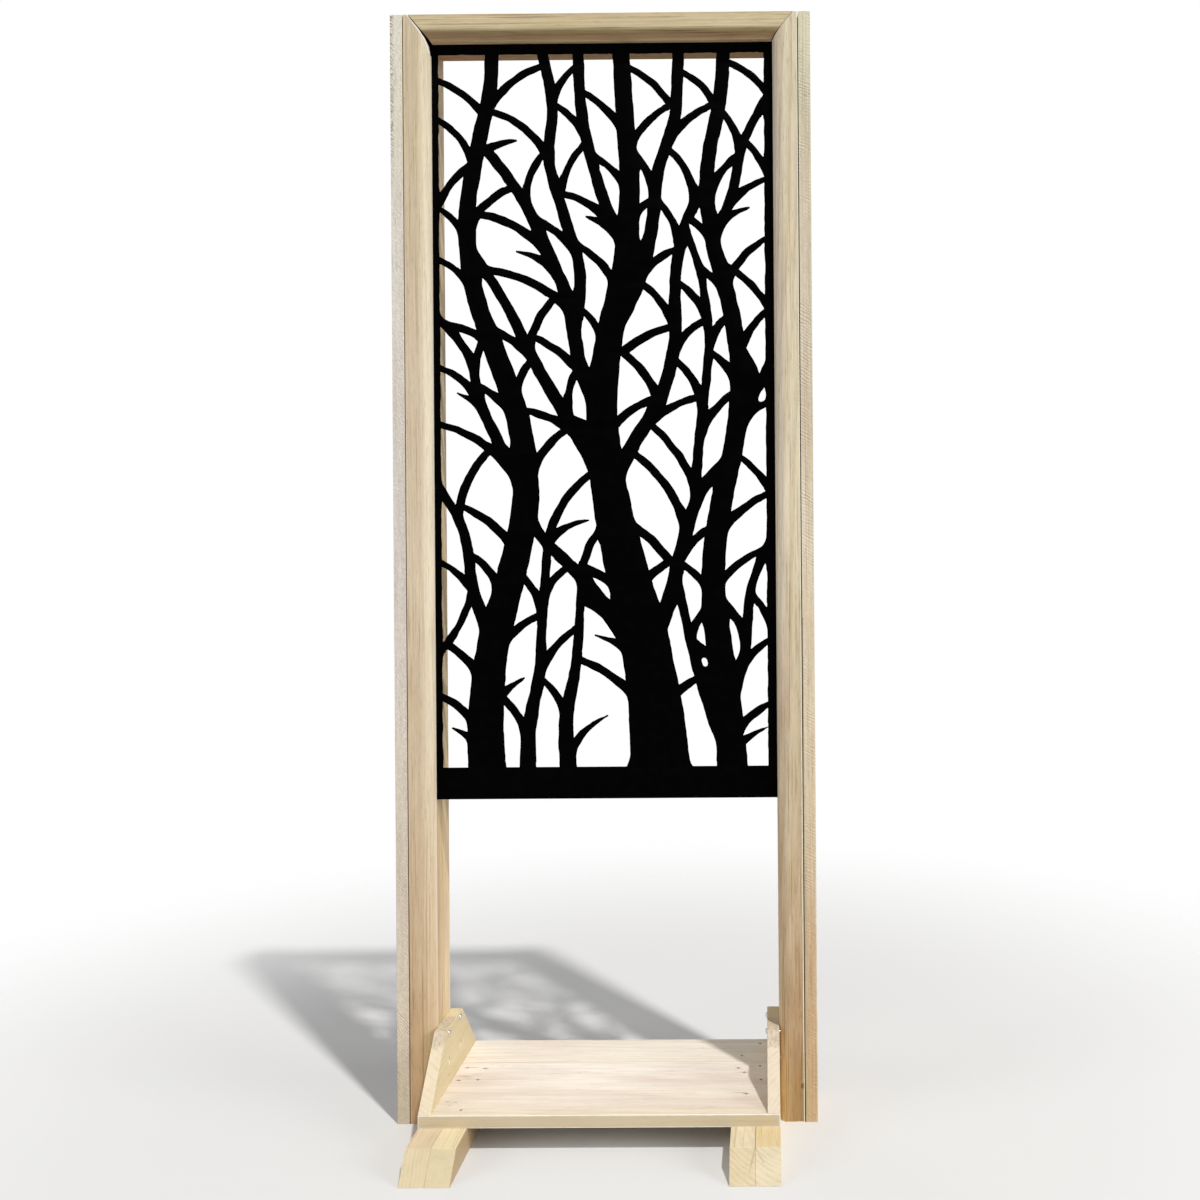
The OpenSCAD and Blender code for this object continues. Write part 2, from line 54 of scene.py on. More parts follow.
# ---------------------------------------------------------------- node helpers
class Net:
    """A material with short calls for its nodes. A socket or a plain value goes into any input."""

    def __init__(self, name):
        self.mat = bpy.data.materials.new(name)
        self.mat.use_nodes = True
        self.nt = self.mat.node_tree
        self.nt.nodes.clear()
        self.out = self.nt.nodes.new("ShaderNodeOutputMaterial")
        self.bsdf = self.nt.nodes.new("ShaderNodeBsdfPrincipled")
        self.nt.links.new(self.bsdf.outputs[0], self.out.inputs[0])

    def put(self, socket, v):
        if isinstance(v, bpy.types.NodeSocket):
            self.nt.links.new(v, socket)
        elif v is not None:
            if socket.type == "RGBA" and len(v) == 3:
                v = (*v, 1)
            socket.default_value = v

    def math(self, op, a, b=None, c=None, clamp=False):
        n = self.nt.nodes.new("ShaderNodeMath")
        n.operation, n.use_clamp = op, clamp
        for i, v in enumerate((a, b, c)):
            self.put(n.inputs[i], v)
        return n.outputs[0]

    def add(self, *v):
        t = v[0]
        for u in v[1:]:
            t = self.math("ADD", t, u)
        return t

    def mul(self, *v):
        t = v[0]
        for u in v[1:]:
            t = self.math("MULTIPLY", t, u)
        return t

    def vmath(self, op, a, b=None, scale=None):
        n = self.nt.nodes.new("ShaderNodeVectorMath")
        n.operation = op
        self.put(n.inputs[0], a)
        if b is not None:
            self.put(n.inputs[1], b)
        if scale is not None:
            self.put(n.inputs["Scale"], scale)
        return n.outputs["Value"] if op in ("LENGTH", "DOT_PRODUCT", "DISTANCE") else n.outputs[0]

    def sep(self, v):
        n = self.nt.nodes.new("ShaderNodeSeparateXYZ")
        self.put(n.inputs[0], v)
        return n.outputs[0], n.outputs[1], n.outputs[2]

    def com(self, x, y, z):
        n = self.nt.nodes.new("ShaderNodeCombineXYZ")
        for i, v in enumerate((x, y, z)):
            self.put(n.inputs[i], v)
        return n.outputs[0]

    def noise(self, v, scale=1.0, detail=2.0, rough=0.5, dist=0.0, colour=False):
        n = self.nt.nodes.new("ShaderNodeTexNoise")
        self.put(n.inputs["Vector"], v)
        n.inputs["Scale"].default_value = scale
        n.inputs["Detail"].default_value = detail
        n.inputs["Roughness"].default_value = rough
        n.inputs["Distortion"].default_value = dist
        return n.outputs["Color" if colour else "Fac"]

    def white(self, v):
        n = self.nt.nodes.new("ShaderNodeTexWhiteNoise")
        n.noise_dimensions = "1D"
        self.put(n.inputs["W"], v)
        return n.outputs["Value"]

    def span(self, v, a, b, c=0.0, d=1.0, kind="SMOOTHSTEP"):
        n = self.nt.nodes.new("ShaderNodeMapRange")
        n.interpolation_type = kind
        for i, u in enumerate((v, a, b, c, d)):
            self.put(n.inputs[i], u)
        return n.outputs[0]

    def mix(self, f, a, b, blend="MIX"):
        n = self.nt.nodes.new("ShaderNodeMix")
        n.data_type, n.blend_type = "RGBA", blend
        self.put(n.inputs[0], f)
        self.put(n.inputs[6], a)
        self.put(n.inputs[7], b)
        return n.outputs[2]

    def ramp(self, f, stops, kind="LINEAR"):
        n = self.nt.nodes.new("ShaderNodeValToRGB")
        n.color_ramp.interpolation = kind
        e = n.color_ramp.elements
        while len(e) < len(stops):
            e.new(0.5)
        for i, (p, c) in enumerate(stops):
            e[i].position = p
            e[i].color = (*c, 1) if len(c) == 3 else c
        self.put(n.inputs[0], f)
        return n.outputs[0]

    def position(self):
        return self.nt.nodes.new("ShaderNodeTexCoord").outputs["Object"]

    def normal(self):
        return self.nt.nodes.new("ShaderNodeNewGeometry").outputs["Normal"]

    def bump(self, height, strength=1.0):
        n = self.nt.nodes.new("ShaderNodeBump")
        n.inputs["Strength"].default_value = strength
        n.inputs["Distance"].default_value = 1.0
        self.put(n.inputs["Height"], height)
        return n.outputs[0]

    def finish(self, colour, rough, height, **fixed):
        self.put(self.bsdf.inputs["Base Color"], colour)
        self.put(self.bsdf.inputs["Roughness"], rough)
        if height is not None:
            self.put(self.bsdf.inputs["Normal"], self.bump(height))
        for k, v in fixed.items():
            self.bsdf.inputs[k.replace("_", " ")].default_value = v
        return self.mat


AXES = {"X": (1, 2, 0), "Y": (0, 2, 1), "Z": (0, 1, 2)}


def wood(name, axis, pith, light, dark, ring=0.005, seed=0.0, tilt=(0.0, 0.0), contrast=0.55, fibre=0.16,
         patch=None, patch_amount=0.5, end=None, end_contrast=0.30, fade=None, arris=0.0, knots=(), saw=None, marks=(),
         torn=None, streaks=0.0, streak=None, flecks=0.0, faces=(), lines=(), mitre=False, rough=0.52, level=0.30, calm=None,
         quiet=None, bands=()):
    """Wood as one solid block: growth rings round a pith line, fibres along the grain, end grain where it is cut across.
    pith is where the pith line crosses the section, in metres; knots are (x, y, z, radius, strength)."""
    n = Net(name)
    pos = n.position()
    xyz = n.sep(pos)
    ia, ib, il = AXES[axis]
    a, b, l = xyz[ia], xyz[ib], xyz[il]
    sa, sb, sl = n.add(a, seed), n.add(b, seed * 1.7 + 3.1), n.add(l, seed * 2.3 + 1.3)

    def along(across, length):
        return n.com(n.mul(sa, across), n.mul(sb, across), n.mul(sl, length))

    # bends of the trunk, from metres down to millimetres
    w1 = n.sep(n.vmath("SUBTRACT", n.noise(along(4.0, 0.9), detail=1.0, colour=True), (0.5, 0.5, 0.5)))
    w2 = n.sep(n.vmath("SUBTRACT", n.noise(along(38.0, 4.2), detail=2.0, colour=True), (0.5, 0.5, 0.5)))
    w3 = n.sep(n.vmath("SUBTRACT", n.noise(along(260.0, 16.0), detail=2.0, colour=True), (0.5, 0.5, 0.5)))
    aa = n.add(n.math("MULTIPLY_ADD", l, tilt[0], n.math("SUBTRACT", a, pith[0])), n.mul(w1[0], 0.030), n.mul(w2[0], 0.0042), n.mul(w3[0], 0.0009))
    bb = n.add(n.math("MULTIPLY_ADD", l, tilt[1], n.math("SUBTRACT", b, pith[1])), n.mul(w1[1], 0.030), n.mul(w2[1], 0.0042), n.mul(w3[1], 0.0009))
    knot_dark = 0.0
    bend = 0.0
    for kx, ky, kz, kr, ks in knots:
        rel = n.sep(n.vmath("SUBTRACT", pos, (kx, ky, kz)))
        # a knot bends the grain round it more along the grain than across it
        d = n.vmath("LENGTH", n.com(n.mul(rel[ia], 1.0), n.mul(rel[ib], 1.0), n.mul(rel[il], 0.72)))
        bend = n.add(bend, n.mul(n.span(d, kr * 0.6, kr * 5.0, 1.0, 0.0), kr * 1.6 * ks))
        wob = n.noise(pos, scale=420.0, detail=2.0)
        dk = n.add(d, n.mul(n.math("SUBTRACT", wob, 0.5), kr * 0.9))
        knot_dark = n.math("MAXIMUM", knot_dark, n.mul(n.span(dk, kr * 0.55, kr * 1.25, 1.0, 0.0), ks))
    r = n.add(n.math("SQRT", n.add(n.mul(aa, aa), n.mul(bb, bb))), bend)
    phase = n.add(n.math("DIVIDE", r, ring), n.mul(n.noise(n.com(n.mul(r, 55.0), seed, 0.0), detail=1.0), 1.7))
    f = n.math("FRACT", phase)
    late = n.mul(n.span(f, 0.25, 0.88), n.span(f, 0.90, 1.0, 1.0, 0.0))
    amp = n.math("MULTIPLY_ADD", n.white(n.math("FLOOR", phase)), 0.75, 0.25)
    late = n.mul(late, amp)
    fib = n.math("SUBTRACT", n.noise(along(210.0, 13.0), detail=3.0, rough=0.66), 0.5)
    fine = n.math("SUBTRACT", n.noise(along(1100.0, 85.0), detail=2.0), 0.5)
    broad = n.noise(along(26.0, 4.2), detail=3.0, rough=0.5)
    cloud = n.noise(along(60.0, 9.0), detail=2.0)
    still = 1.0
    if calm:
        # plainer wood further up: (from, to, share of the markings that is left)
        still = n.span(n.add(xyz[2], n.mul(n.math("SUBTRACT", cloud, 0.5), 0.25)), calm[0], calm[1], 1.0, calm[2])
    if quiet:
        # plainer wood near one place across the board: (axis, place, reach, share that is left)
        near = n.math("ABSOLUTE", n.math("SUBTRACT", xyz["XYZ".index(quiet[0])], quiet[1]))
        still = n.mul(still, n.span(near, quiet[2] * 0.7, quiet[2], quiet[3], 1.0))
    colour = n.mix(n.mul(late, contrast), light, dark)
    if patch is not None:
        colour = n.mix(n.mul(n.span(broad, 0.42, 0.68), patch_amount, still), colour, patch)
    if streaks:
        # soft brown streaks a few millimetres wide, and long thin lines, thicker in some places than in others
        tint = streak or [c * k for c, k in zip(dark, (0.86, 0.80, 0.76))]
        s = n.span(n.noise(along(230.0, 12.0), detail=3.0, rough=0.62), 0.49, 0.68)
        s = n.mul(s, n.span(n.noise(along(48.0, 6.5), detail=2.0), 0.34, 0.60))
        colour = n.mix(n.mul(s, streaks * 0.7, still), colour, tint)
        s = n.span(n.noise(along(560.0, 4.6), detail=3.0, rough=0.50), 0.555, 0.625)
        s = n.mul(s, n.span(n.noise(along(85.0, 4.5), detail=2.0), 0.40, 0.56, 0.12, 1.0))
        colour = n.mix(n.mul(s, min(0.95, streaks * 1.30), n.math("MULTIPLY_ADD", still, 0.7, 0.3)), colour, [c * 0.78 for c in tint])
    if flecks:
        # short thin dark flecks and as many pale ones
        s = n.noise(along(620.0, 46.0), detail=2.0, rough=0.55)
        s = n.mul(n.math("SUBTRACT", n.span(s, 0.56, 0.70), n.mul(n.span(s, 0.44, 0.30), 0.5)), n.span(n.noise(along(70.0, 14.0), detail=1.0), 0.30, 0.60, 0.35, 1.0))
        colour = n.vmath("SCALE", colour, scale=n.math("SUBTRACT", 1.0, n.mul(s, flecks)))
    shade = n.add(1.0, n.mul(fib, fibre * 2), n.mul(fine, fibre * 0.8), n.mul(n.math("SUBTRACT", cloud, 0.5), fibre * 0.9))
    pore = n.span(n.noise(along(560.0, 44.0), detail=1.0), 0.62, 0.72)
    shade = n.math("SUBTRACT", shade, n.mul(pore, fibre * 1.1))
    colour = n.vmath("SCALE", colour, scale=shade)
    height = n.add(n.mul(fib, 0.00011), n.mul(fine, 0.00004), n.mul(late, 0.00005), n.mul(pore, -0.00007))

    # where the surface cuts across the grain
    across = n.math("ABSOLUTE", n.sep(n.normal())[il])
    cut = n.span(across, 0.45, 0.72)
    if end is not None:
        saw_lines = n.math("SUBTRACT", n.noise(n.com(n.mul(sa, 900.0), n.mul(sb, 60.0), n.mul(sl, 900.0)), detail=2.0), 0.5)
        speck = n.math("SUBTRACT", n.noise(n.com(sa, sb, sl), scale=1300.0, detail=1.0), 0.5)
        wane = n.span(n.noise(pos, scale=55.0, detail=2.0), 0.35, 0.65, 0.25, 1.0)
        ends = n.mix(n.mul(late, wane, end_contrast * 1.6), end, [c * k for c, k in zip(end, (0.74, 0.65, 0.50))])
        ends = n.vmath("SCALE", ends, scale=n.add(1.0, n.mul(saw_lines, 0.14), n.mul(speck, 0.20), n.mul(n.math("SUBTRACT", cloud, 0.5), 0.14), n.mul(n.math("SUBTRACT", n.noise(pos, scale=34.0, detail=2.0), 0.5), 0.22)))
        colour = n.mix(cut, colour, ends)
        height = n.add(n.mul(height, n.math("SUBTRACT", 1.0, cut)), n.mul(cut, n.add(n.mul(saw_lines, 0.00022), n.mul(speck, 0.00012), n.mul(late, 0.00008))))
    roughness = n.add(rough, n.mul(fib, 0.22), n.mul(late, -0.08), n.mul(cut, 0.16))
    if fade is not None:
        # slow change of colour along the board: (axis, from, to, multiplier at from, multiplier at to)
        ax, p0, p1, c0, c1 = fade
        t = n.span(n.add(xyz["XYZ".index(ax)], n.mul(n.math("SUBTRACT", cloud, 0.5), (p1 - p0) * 0.25)), p0, p1, kind="LINEAR")
        colour = n.mix(1.0, colour, n.mix(t, c0, c1), "MULTIPLY")
    for ax, stops, near in bands:
        # a tint that changes along an axis through a few places, all over or only near one place across the board, used
        # for the wood's own tone and for painted light and shade: (axis, (place, multiplier) in rising order, None or
        # (axis, place, reach))
        p0, p1 = stops[0][0], stops[-1][0]
        t = n.span(n.add(xyz["XYZ".index(ax)], n.mul(n.math("SUBTRACT", cloud, 0.5), (p1 - p0) * 0.05)), p0, p1, kind="LINEAR")
        tint = n.vmath("SCALE", n.ramp(t, [((q - p0) / (p1 - p0), [v / 2 for v in c]) for q, c in stops]), scale=2.0)
        tinted = n.vmath("MULTIPLY", colour, tint)
        if near:
            d = n.math("ABSOLUTE", n.math("SUBTRACT", xyz["XYZ".index(near[0])], near[1]))
            tinted = n.mix(n.span(d, near[2] * 0.4, near[2], 1.0, 0.0), colour, tinted)
        colour = tinted
    if saw is not None:
        # ripple left by the saw on the faces that look along axis: (axis, wavelength, depth, slant, darkness)
        ax, wave, depth, slant, darkness = saw[:5]
        chips, low = (tuple(saw[5:]) + (None, None))[:2]
        face = n.span(n.math("ABSOLUTE", n.sep(n.normal())["XYZ".index(ax)]), 0.5, 0.8)
        wander = n.noise(along(5.0, 2.4), detail=1.0)
        lo_b, hi_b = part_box(name.replace("wood_", ""))
        i_lo, i_hi = lo_b[ia], hi_b[ia]
        u = n.add(n.mul(l, 1.0 / wave), n.mul(n.math("SUBTRACT", a, i_lo), slant / wave), n.mul(wander, 7.0), n.mul(n.noise(along(70.0, 60.0), detail=2.0), 2.0))
        ripple = n.mul(n.math("SINE", n.mul(u, 2 * math.pi)), n.math("MULTIPLY_ADD", n.white(n.math("FLOOR", u)), 1.1, 0.25))
        gate = n.span(n.noise(along(40.0, 12.0), detail=2.0), 0.36, 0.62, 0.15, 1.0)
        if low:
            # the strokes fade out up the board: (from, to, what is left)
            gate = n.mul(gate, n.span(l, low[0], low[1], 1.0, low[2]))
        fuzz = n.math("SUBTRACT", n.noise(n.com(n.mul(sa, 230.0), n.mul(sb, 230.0), n.mul(n.math("MULTIPLY_ADD", a, slant, l), 330.0)), detail=3.0, rough=0.70), 0.5)
        k = n.mul(face, gate)
        shade2 = n.add(1.0, n.mul(k, ripple, darkness), n.mul(face, fuzz, darkness * 4.4))
        colour = n.vmath("SCALE", colour, scale=shade2)
        height = n.add(height, n.mul(k, ripple, depth), n.mul(face, fuzz, depth * 2.2))
        roughness = n.add(roughness, n.mul(face, 0.25))
        if chips:
            # torn dots along the outer edge, one to each stroke of the saw: (from, to) along the board
            near = n.span(n.math("SUBTRACT", a, i_lo), 0.0015, 0.0085, 1.0, 0.0)
            if chips[2] < 0:
                near = n.span(n.math("SUBTRACT", i_hi, a), 0.0015, 0.0085, 1.0, 0.0)
            reach = n.mul(n.span(l, chips[0] - 0.12, chips[0] + 0.05), n.span(l, chips[1] - 0.05, chips[1] + 0.12, 1.0, 0.0))
            dots = n.span(n.add(n.mul(ripple, 0.16), n.noise(pos, scale=240.0, detail=2.0, rough=0.6)), 0.47, 0.60)
            dots = n.mul(dots, near, reach, face)
            colour = n.mix(n.mul(dots, 0.75), colour, (0.22, 0.17, 0.12))
            height = n.add(height, n.mul(dots, -0.0004))
            far = n.span(n.math("SUBTRACT", i_hi, a), 0.003, 0.010, 1.0, 0.0)
            crumb = n.noise(pos, scale=520.0, detail=1.0)
            crumb = n.mul(n.math("SUBTRACT", n.span(crumb, 0.60, 0.68), n.span(crumb, 0.36, 0.30)), far, face)
            colour = n.vmath("SCALE", colour, scale=n.math("MULTIPLY_ADD", crumb, 0.16, 1.0))
            height = n.add(height, n.mul(crumb, 0.0002))
    for mx, my, mz, ra, rl, mc, ms in marks:
        # a stain, scuff, split, or the painted shade of a sunk nail hole: centre, radius across the grain, radius along
        # it, colour, strength
        rel = n.sep(n.vmath("SUBTRACT", pos, (mx, my, mz)))
        d = n.vmath("LENGTH", n.com(n.mul(rel[ia], 1.0 / ra), n.mul(rel[ib], 1.0 / ra), n.mul(rel[il], 1.0 / rl)))
        d = n.add(d, n.mul(n.math("SUBTRACT", n.noise(pos, scale=500.0, detail=2.0), 0.5), 0.5))
        colour = n.mix(n.mul(n.span(d, 0.25, 1.0, 1.0, 0.0), ms), colour, mc)
    if torn is not None:
        # torn grain on the upper part of the front slope and the front of the top: (lowest point, furthest back, colours)
        z0, y1, grey, pit = torn
        ragged = n.mul(n.math("SUBTRACT", n.noise(pos, scale=150.0, detail=3.0), 0.5), 0.012)
        area = n.mul(n.span(n.add(xyz[2], ragged), z0, z0 + 0.003), n.span(n.sep(n.normal())[2], 0.45, 0.6),
                     n.span(n.add(xyz[1], ragged, ragged), y1 - 0.006, y1 + 0.002, 1.0, 0.0))
        rag = n.noise(n.com(n.mul(xyz[0], 1.0), n.mul(xyz[1], 0.55), n.mul(xyz[2], 0.55)), scale=330.0, detail=3.0, rough=0.7)
        colour = n.mix(n.mul(area, n.span(rag, 0.36, 0.56, 0.45, 0.90)), colour, grey)
        colour = n.mix(n.mul(area, n.span(rag, 0.54, 0.66), 0.60), colour, pit)
        height = n.add(height, n.mul(area, rag, -0.0006))
        roughness = n.add(roughness, n.mul(area, 0.2))
    for ax, at, tol, c, k in faces:
        # a face with a tone of its own, or with painted shade or painted light on it such as a face inside a gap: axis,
        # place, tolerance, colour to mix in (or None to scale) and amount (or None for a tint that dies away over the
        # tolerance)
        g = n.span(n.math("ABSOLUTE", n.math("SUBTRACT", xyz["XYZ".index(ax)], at)), tol * 0.5, tol, 1.0, 0.0)
        if c is None:
            colour = n.mix(g, colour, n.vmath("SCALE", colour, scale=k))
        elif k is None:
            g = n.span(n.math("ABSOLUTE", n.math("SUBTRACT", xyz["XYZ".index(ax)], at)), tol * 0.35, tol, 1.0, 0.0)
            colour = n.mix(g, colour, n.vmath("MULTIPLY", colour, c))
        else:
            colour = n.mix(n.mul(g, k), colour, c)
    for x0, z0, x1, z1, width, k, tone in lines:
        # a line along a straight stretch on the front, for grain lines, for rubbed edges with a painted highlight and
        # for a painted shadow line beside a gap
        length = math.hypot(x1 - x0, z1 - z0)
        dx, dz = (x1 - x0) / length, (z1 - z0) / length
        t = n.add(n.mul(xyz[0], dx), n.mul(xyz[2], dz), -(x0 * dx + z0 * dz))
        off = n.math("ABSOLUTE", n.add(n.mul(xyz[0], dz), n.mul(xyz[2], -dx), -(x0 * dz - z0 * dx)))
        off = n.add(off, n.mul(n.math("SUBTRACT", n.noise(pos, scale=160.0, detail=1.0), 0.5), width * 0.6))
        g = n.mul(n.span(off, width * 0.45, width, 1.0, 0.0), n.span(t, -0.001, 0.0), n.span(t, length, length + 0.001, 1.0, 0.0))
        colour = n.mix(n.mul(g, k), colour, tone)
    if mitre:
        # painted shade: the mitre's cut faces, whose normals lean both sideways and up, are darkened as the inside of
        # the mitre gap
        nx, ny, nz = n.sep(n.normal())
        g = n.span(n.math("ABSOLUTE", n.mul(nx, nz)), 0.40, 0.47)
        colour = n.mix(g, colour, n.vmath("SCALE", colour, scale=0.28))
    if knots:
        colour = n.mix(knot_dark, colour, (0.20, 0.085, 0.035))
        roughness = n.math("SUBTRACT", roughness, n.mul(knot_dark, 0.15))
    if arris:
        # edges slightly paler within a millimetre or so of an edge of the board: partly wear, partly painted highlight
        # where the eased edges catch the light
        lo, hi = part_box(name.replace("wood_", ""))
        ds = []
        for i in range(3):
            ds.append(n.math("MINIMUM", n.math("ABSOLUTE", n.math("SUBTRACT", xyz[i], lo[i])), n.math("ABSOLUTE", n.math("SUBTRACT", xyz[i], hi[i]))))
        m1 = n.math("MINIMUM", ds[0], ds[1])
        m2 = n.math("MAXIMUM", ds[0], ds[1])
        second = n.math("MAXIMUM", m1, n.math("MINIMUM", m2, ds[2]))
        edge_wear_and_highlight = n.span(n.add(second, n.mul(n.math("SUBTRACT", n.noise(pos, scale=70.0, detail=3.0), 0.5), 0.0016)), 0.0007, 0.0019, 1.0, 0.0)
        colour = n.mix(n.mul(edge_wear_and_highlight, arris), colour, [min(0.92, c * k) for c, k in zip(light, (1.14, 1.16, 1.22))])
    return n.finish(colour, roughness, height, Specular_IOR_Level=level)


# ---------------------------------------------------------------- shapes
def shade(me, wide=0.0014):
    """Flat faces keep their own normal right up to their edges. Narrow ones, such as eased edges and the facets of a
    round part, are shaded as curves that run into the flat faces beside them."""
    bm = bmesh.new()
    bm.from_mesh(me)
    bm.normal_update()
    group, flats = {}, set()
    for f0 in sorted(bm.faces, key=lambda f: (-round(f.calc_area(), 12), f.index)):
        if f0 in group:
            continue
        group[f0] = f0
        todo, members = [f0], []
        while todo:
            f = todo.pop()
            members.append(f)
            for e in f.edges:
                for g in e.link_faces:
                    if g not in group and g.normal.dot(f0.normal) > 0.999995:
                        group[g] = f0
                        todo.append(g)
        rim = sum(e.calc_length() for f in members for e in f.edges if any(group.get(g) is not f0 for g in e.link_faces))
        if 2 * sum(f.calc_area() for f in members) > wide * rim:
            flats.update(members)
    normals = []
    for f in bm.faces:
        for l in f.loops:
            if f in flats:
                normals.append(group[f].normal.copy())
                continue
            near, curve = [], []
            for g in l.vert.link_faces:
                k = group[g]
                if g in flats and k.normal.dot(f.normal) > 0.5 and k not in near:
                    near.append(k)
                elif g not in flats and k.normal.dot(f.normal) > 0.75 and k not in curve:
                    curve.append(k)
            n = Vector()
            for k in near or curve:
                n += k.normal
            normals.append(n.normalized() if n.length > 0.01 else f.normal.copy())
    bm.free()
    for p in me.polygons:
        p.use_smooth = True
    me.normals_split_custom_set(normals)


def rounded(node, width, keep=0.012, segments=2, shape=None, name=None):
    """A copy of a CAD node with its long edges eased, as planed timber has them."""
    me = nodes[node].data.copy()
    bm = bmesh.new()
    bm.from_mesh(me)
    bmesh.ops.remove_doubles(bm, verts=bm.verts, dist=2e-6)
    bm.normal_update()

    def corner(e):
        return len(e.link_faces) == 2 and e.calc_face_angle(0) > math.radians(30) and e.calc_length() > keep

    # a hole's rim is made of short edges, so only straight edges of some length are eased
    bmesh.ops.bevel(bm, geom=[e for e in bm.edges if corner(e)], offset=width, offset_type="OFFSET", segments=segments,
                    profile=0.5, affect="EDGES", clamp_overlap=False)
    if shape:
        shape(bm)
    bmesh.ops.triangulate(bm, faces=[f for f in bm.faces if len(f.verts) > 4])
    bm.normal_update()
    bm.to_mesh(me)
    bm.free()
    shade(me)
    ob = bpy.data.objects.new(name or node + "_board", me)
    scene.collection.objects.link(ob)
    return ob


def between(u, table):
    """Value at u on a line through the points of a table."""
    for (u0, v0), (u1, v1) in zip(table, table[1:]):
        if u <= u1:
            return v0 + (v1 - v0) * max(0.0, u - u0) / (u1 - u0)
    return table[-1][1]


def moulded(node, thick, wide, radius, place, ends):
    """A moulding with one rounded edge, run between two trimmed ends. The section is u from its rounded edge and v
    from its face back, and place puts (u, v, t) in the room. An end has its t, and the length and depth of its eased
    edge, each a table over u."""
    corner, path = 0.0007, [(0.0, thick, 1.0, 0.0)]
    turns = sorted([i * 3.75 for i in range(25) if i not in (2, 6, 8)] + [8.67, 21.4, 29.1])
    for a in turns:
        c, q = math.cos(math.radians(a)), math.sin(math.radians(a))
        path.append((radius * (1 - c), radius * (1 - q), c, q))
    path += [(u, 0.0, 0.0, 1.0) for u in (0.0225, 0.0275, 0.0300, 0.0325, 0.0345) if u < wide - 0.002]
    for a in (0.0, 30.0, 60.0, 90.0):
        c, q = math.cos(math.radians(a)), math.sin(math.radians(a))
        path.append((wide - corner + corner * q, corner * (1 - c), -q, c))
    path.append((wide, thick, -1.0, 0.0))
    count, steps = len(path), 5
    bm, rings, caps = bmesh.new(), [], []
    for e, (at_t, length, depth) in enumerate(ends):
        rows = []
        for k in range(steps + 1):
            q = math.radians(90.0 * k / steps)
            row = []
            for u, v, nu, nv in path:
                t = between(u, at_t) + (-1 if e else 1) * between(u, length) * (1 - math.sin(q))
                o = between(u, depth) * (1 - math.cos(q))
                row.append((u + nu * o, v + nv * o, t))
            rows.append([bm.verts.new(place(*r)) for r in row])
            last = row
        caps.append([rows[-1][0]] * 2 + [bm.verts.new(place(u, thick, t)) for u, v, t in last[2:-2]] + [rows[-1][-1]] * 2)
        rings.append(rows)
    rows = rings[0][::-1] + rings[1]
    for a, b in zip(rows, rows[1:]):
        for i in range(count - 1):
            bm.faces.new((a[i], a[i + 1], b[i + 1], b[i]))
    for side, cap in zip((rings[0][-1], rings[1][-1]), caps):
        for i in range(1, count - 2):
            corners = []
            for v in (side[i], side[i + 1], cap[i + 1], cap[i]):
                if v not in corners:
                    corners.append(v)
            bm.faces.new(corners)
    back = [r[0] for r in rows] + caps[1][2:-2] + [r[-1] for r in rows[::-1]] + caps[0][2:-2][::-1]
    bm.faces.new(back)
    bmesh.ops.recalc_face_normals(bm, faces=bm.faces)
    print(node, "open edges", sum(not e.is_manifold for e in bm.edges))
    bmesh.ops.triangulate(bm, faces=[f for f in bm.faces if len(f.verts) > 4])
    me = bpy.data.meshes.new(node)
    bm.to_mesh(me)
    bm.free()
    shade(me)
    ob = bpy.data.objects.new(node + "_board", me)
    scene.collection.objects.link(ob)
    return ob


def torn_end(z0, y1):
    """Gives the upper slope and the front of the top of a cleat real pits where the saw tore its grain."""
    def shape(bm):
        for way, at_, keep_up in ((Vector((0, -0.7071, 0.7071)), (0, 0, z0 - 0.004), Vector((0, 0, 1))),
                                  (Vector((0, 0, 1)), (0, y1 + 0.004, 0), Vector((0, -1, 0)))):
            bm.normal_update()
            flat = [f for f in bm.faces if f.normal.dot(way) > 0.999]
            high = max(f.calc_center_median().z for f in flat)
            if way.z > 0.9:
                flat = [f for f in flat if f.calc_center_median().z > high - 0.001]
            new = bmesh.ops.dissolve_faces(bm, faces=flat)["region"]
            face = max(new, key=lambda f: f.calc_area())
            cut = bmesh.ops.bisect_plane(bm, geom=[face] + list(face.edges) + list(face.verts), plane_co=at_, plane_no=keep_up)
            parts = [g for g in cut["geom"] if isinstance(g, bmesh.types.BMFace) and g.is_valid]
            parts = [f for f in parts if (f.calc_center_median() - Vector(at_)).dot(keep_up) > 0]
            face = max(parts, key=lambda f: f.calc_area())
            if len(face.verts) != 4:
                print("torn end: face has", len(face.verts), "corners")
                continue
            lo_, hi_ = [Vector([f(v.co[i] for v in face.verts) for i in range(3)]) for f in (min, max)]
            bmesh.ops.subdivide_edges(bm, edges=list(face.edges), cuts=20, use_grid_fill=True)
            bm.normal_update()
            for v in bm.verts:
                c = v.co
                if (v.normal - way).length > 0.06 or not all(lo_[i] - 1e-6 < c[i] < hi_[i] + 1e-6 for i in range(3)):
                    continue
                edge = min(1.0, (min(c.x - lo_.x, hi_.x - c.x) - 0.0003) / 0.0012)
                far = (c.z - z0) if way.z < 0.9 else (y1 - c.y)
                edge *= min(1.0, max(0.0, far / 0.004))
                near = (hi_.z - c.z) if way.z < 0.9 else (c.y - lo_.y)
                edge *= min(1.0, max(0.0, (near - 0.0002) / 0.0010))
                if edge <= 0:
                    continue
                q = Vector((c.x * 1.0, c.y * 0.6, c.z * 0.6))
                h = noise.noise(q * 330) * 0.6 + noise.noise(q * 800 + Vector((7, 3, 1))) * 0.35
                v.co -= way * (0.0008 * edge * (0.5 + 1.3 * max(-0.38, h)))
    return shape


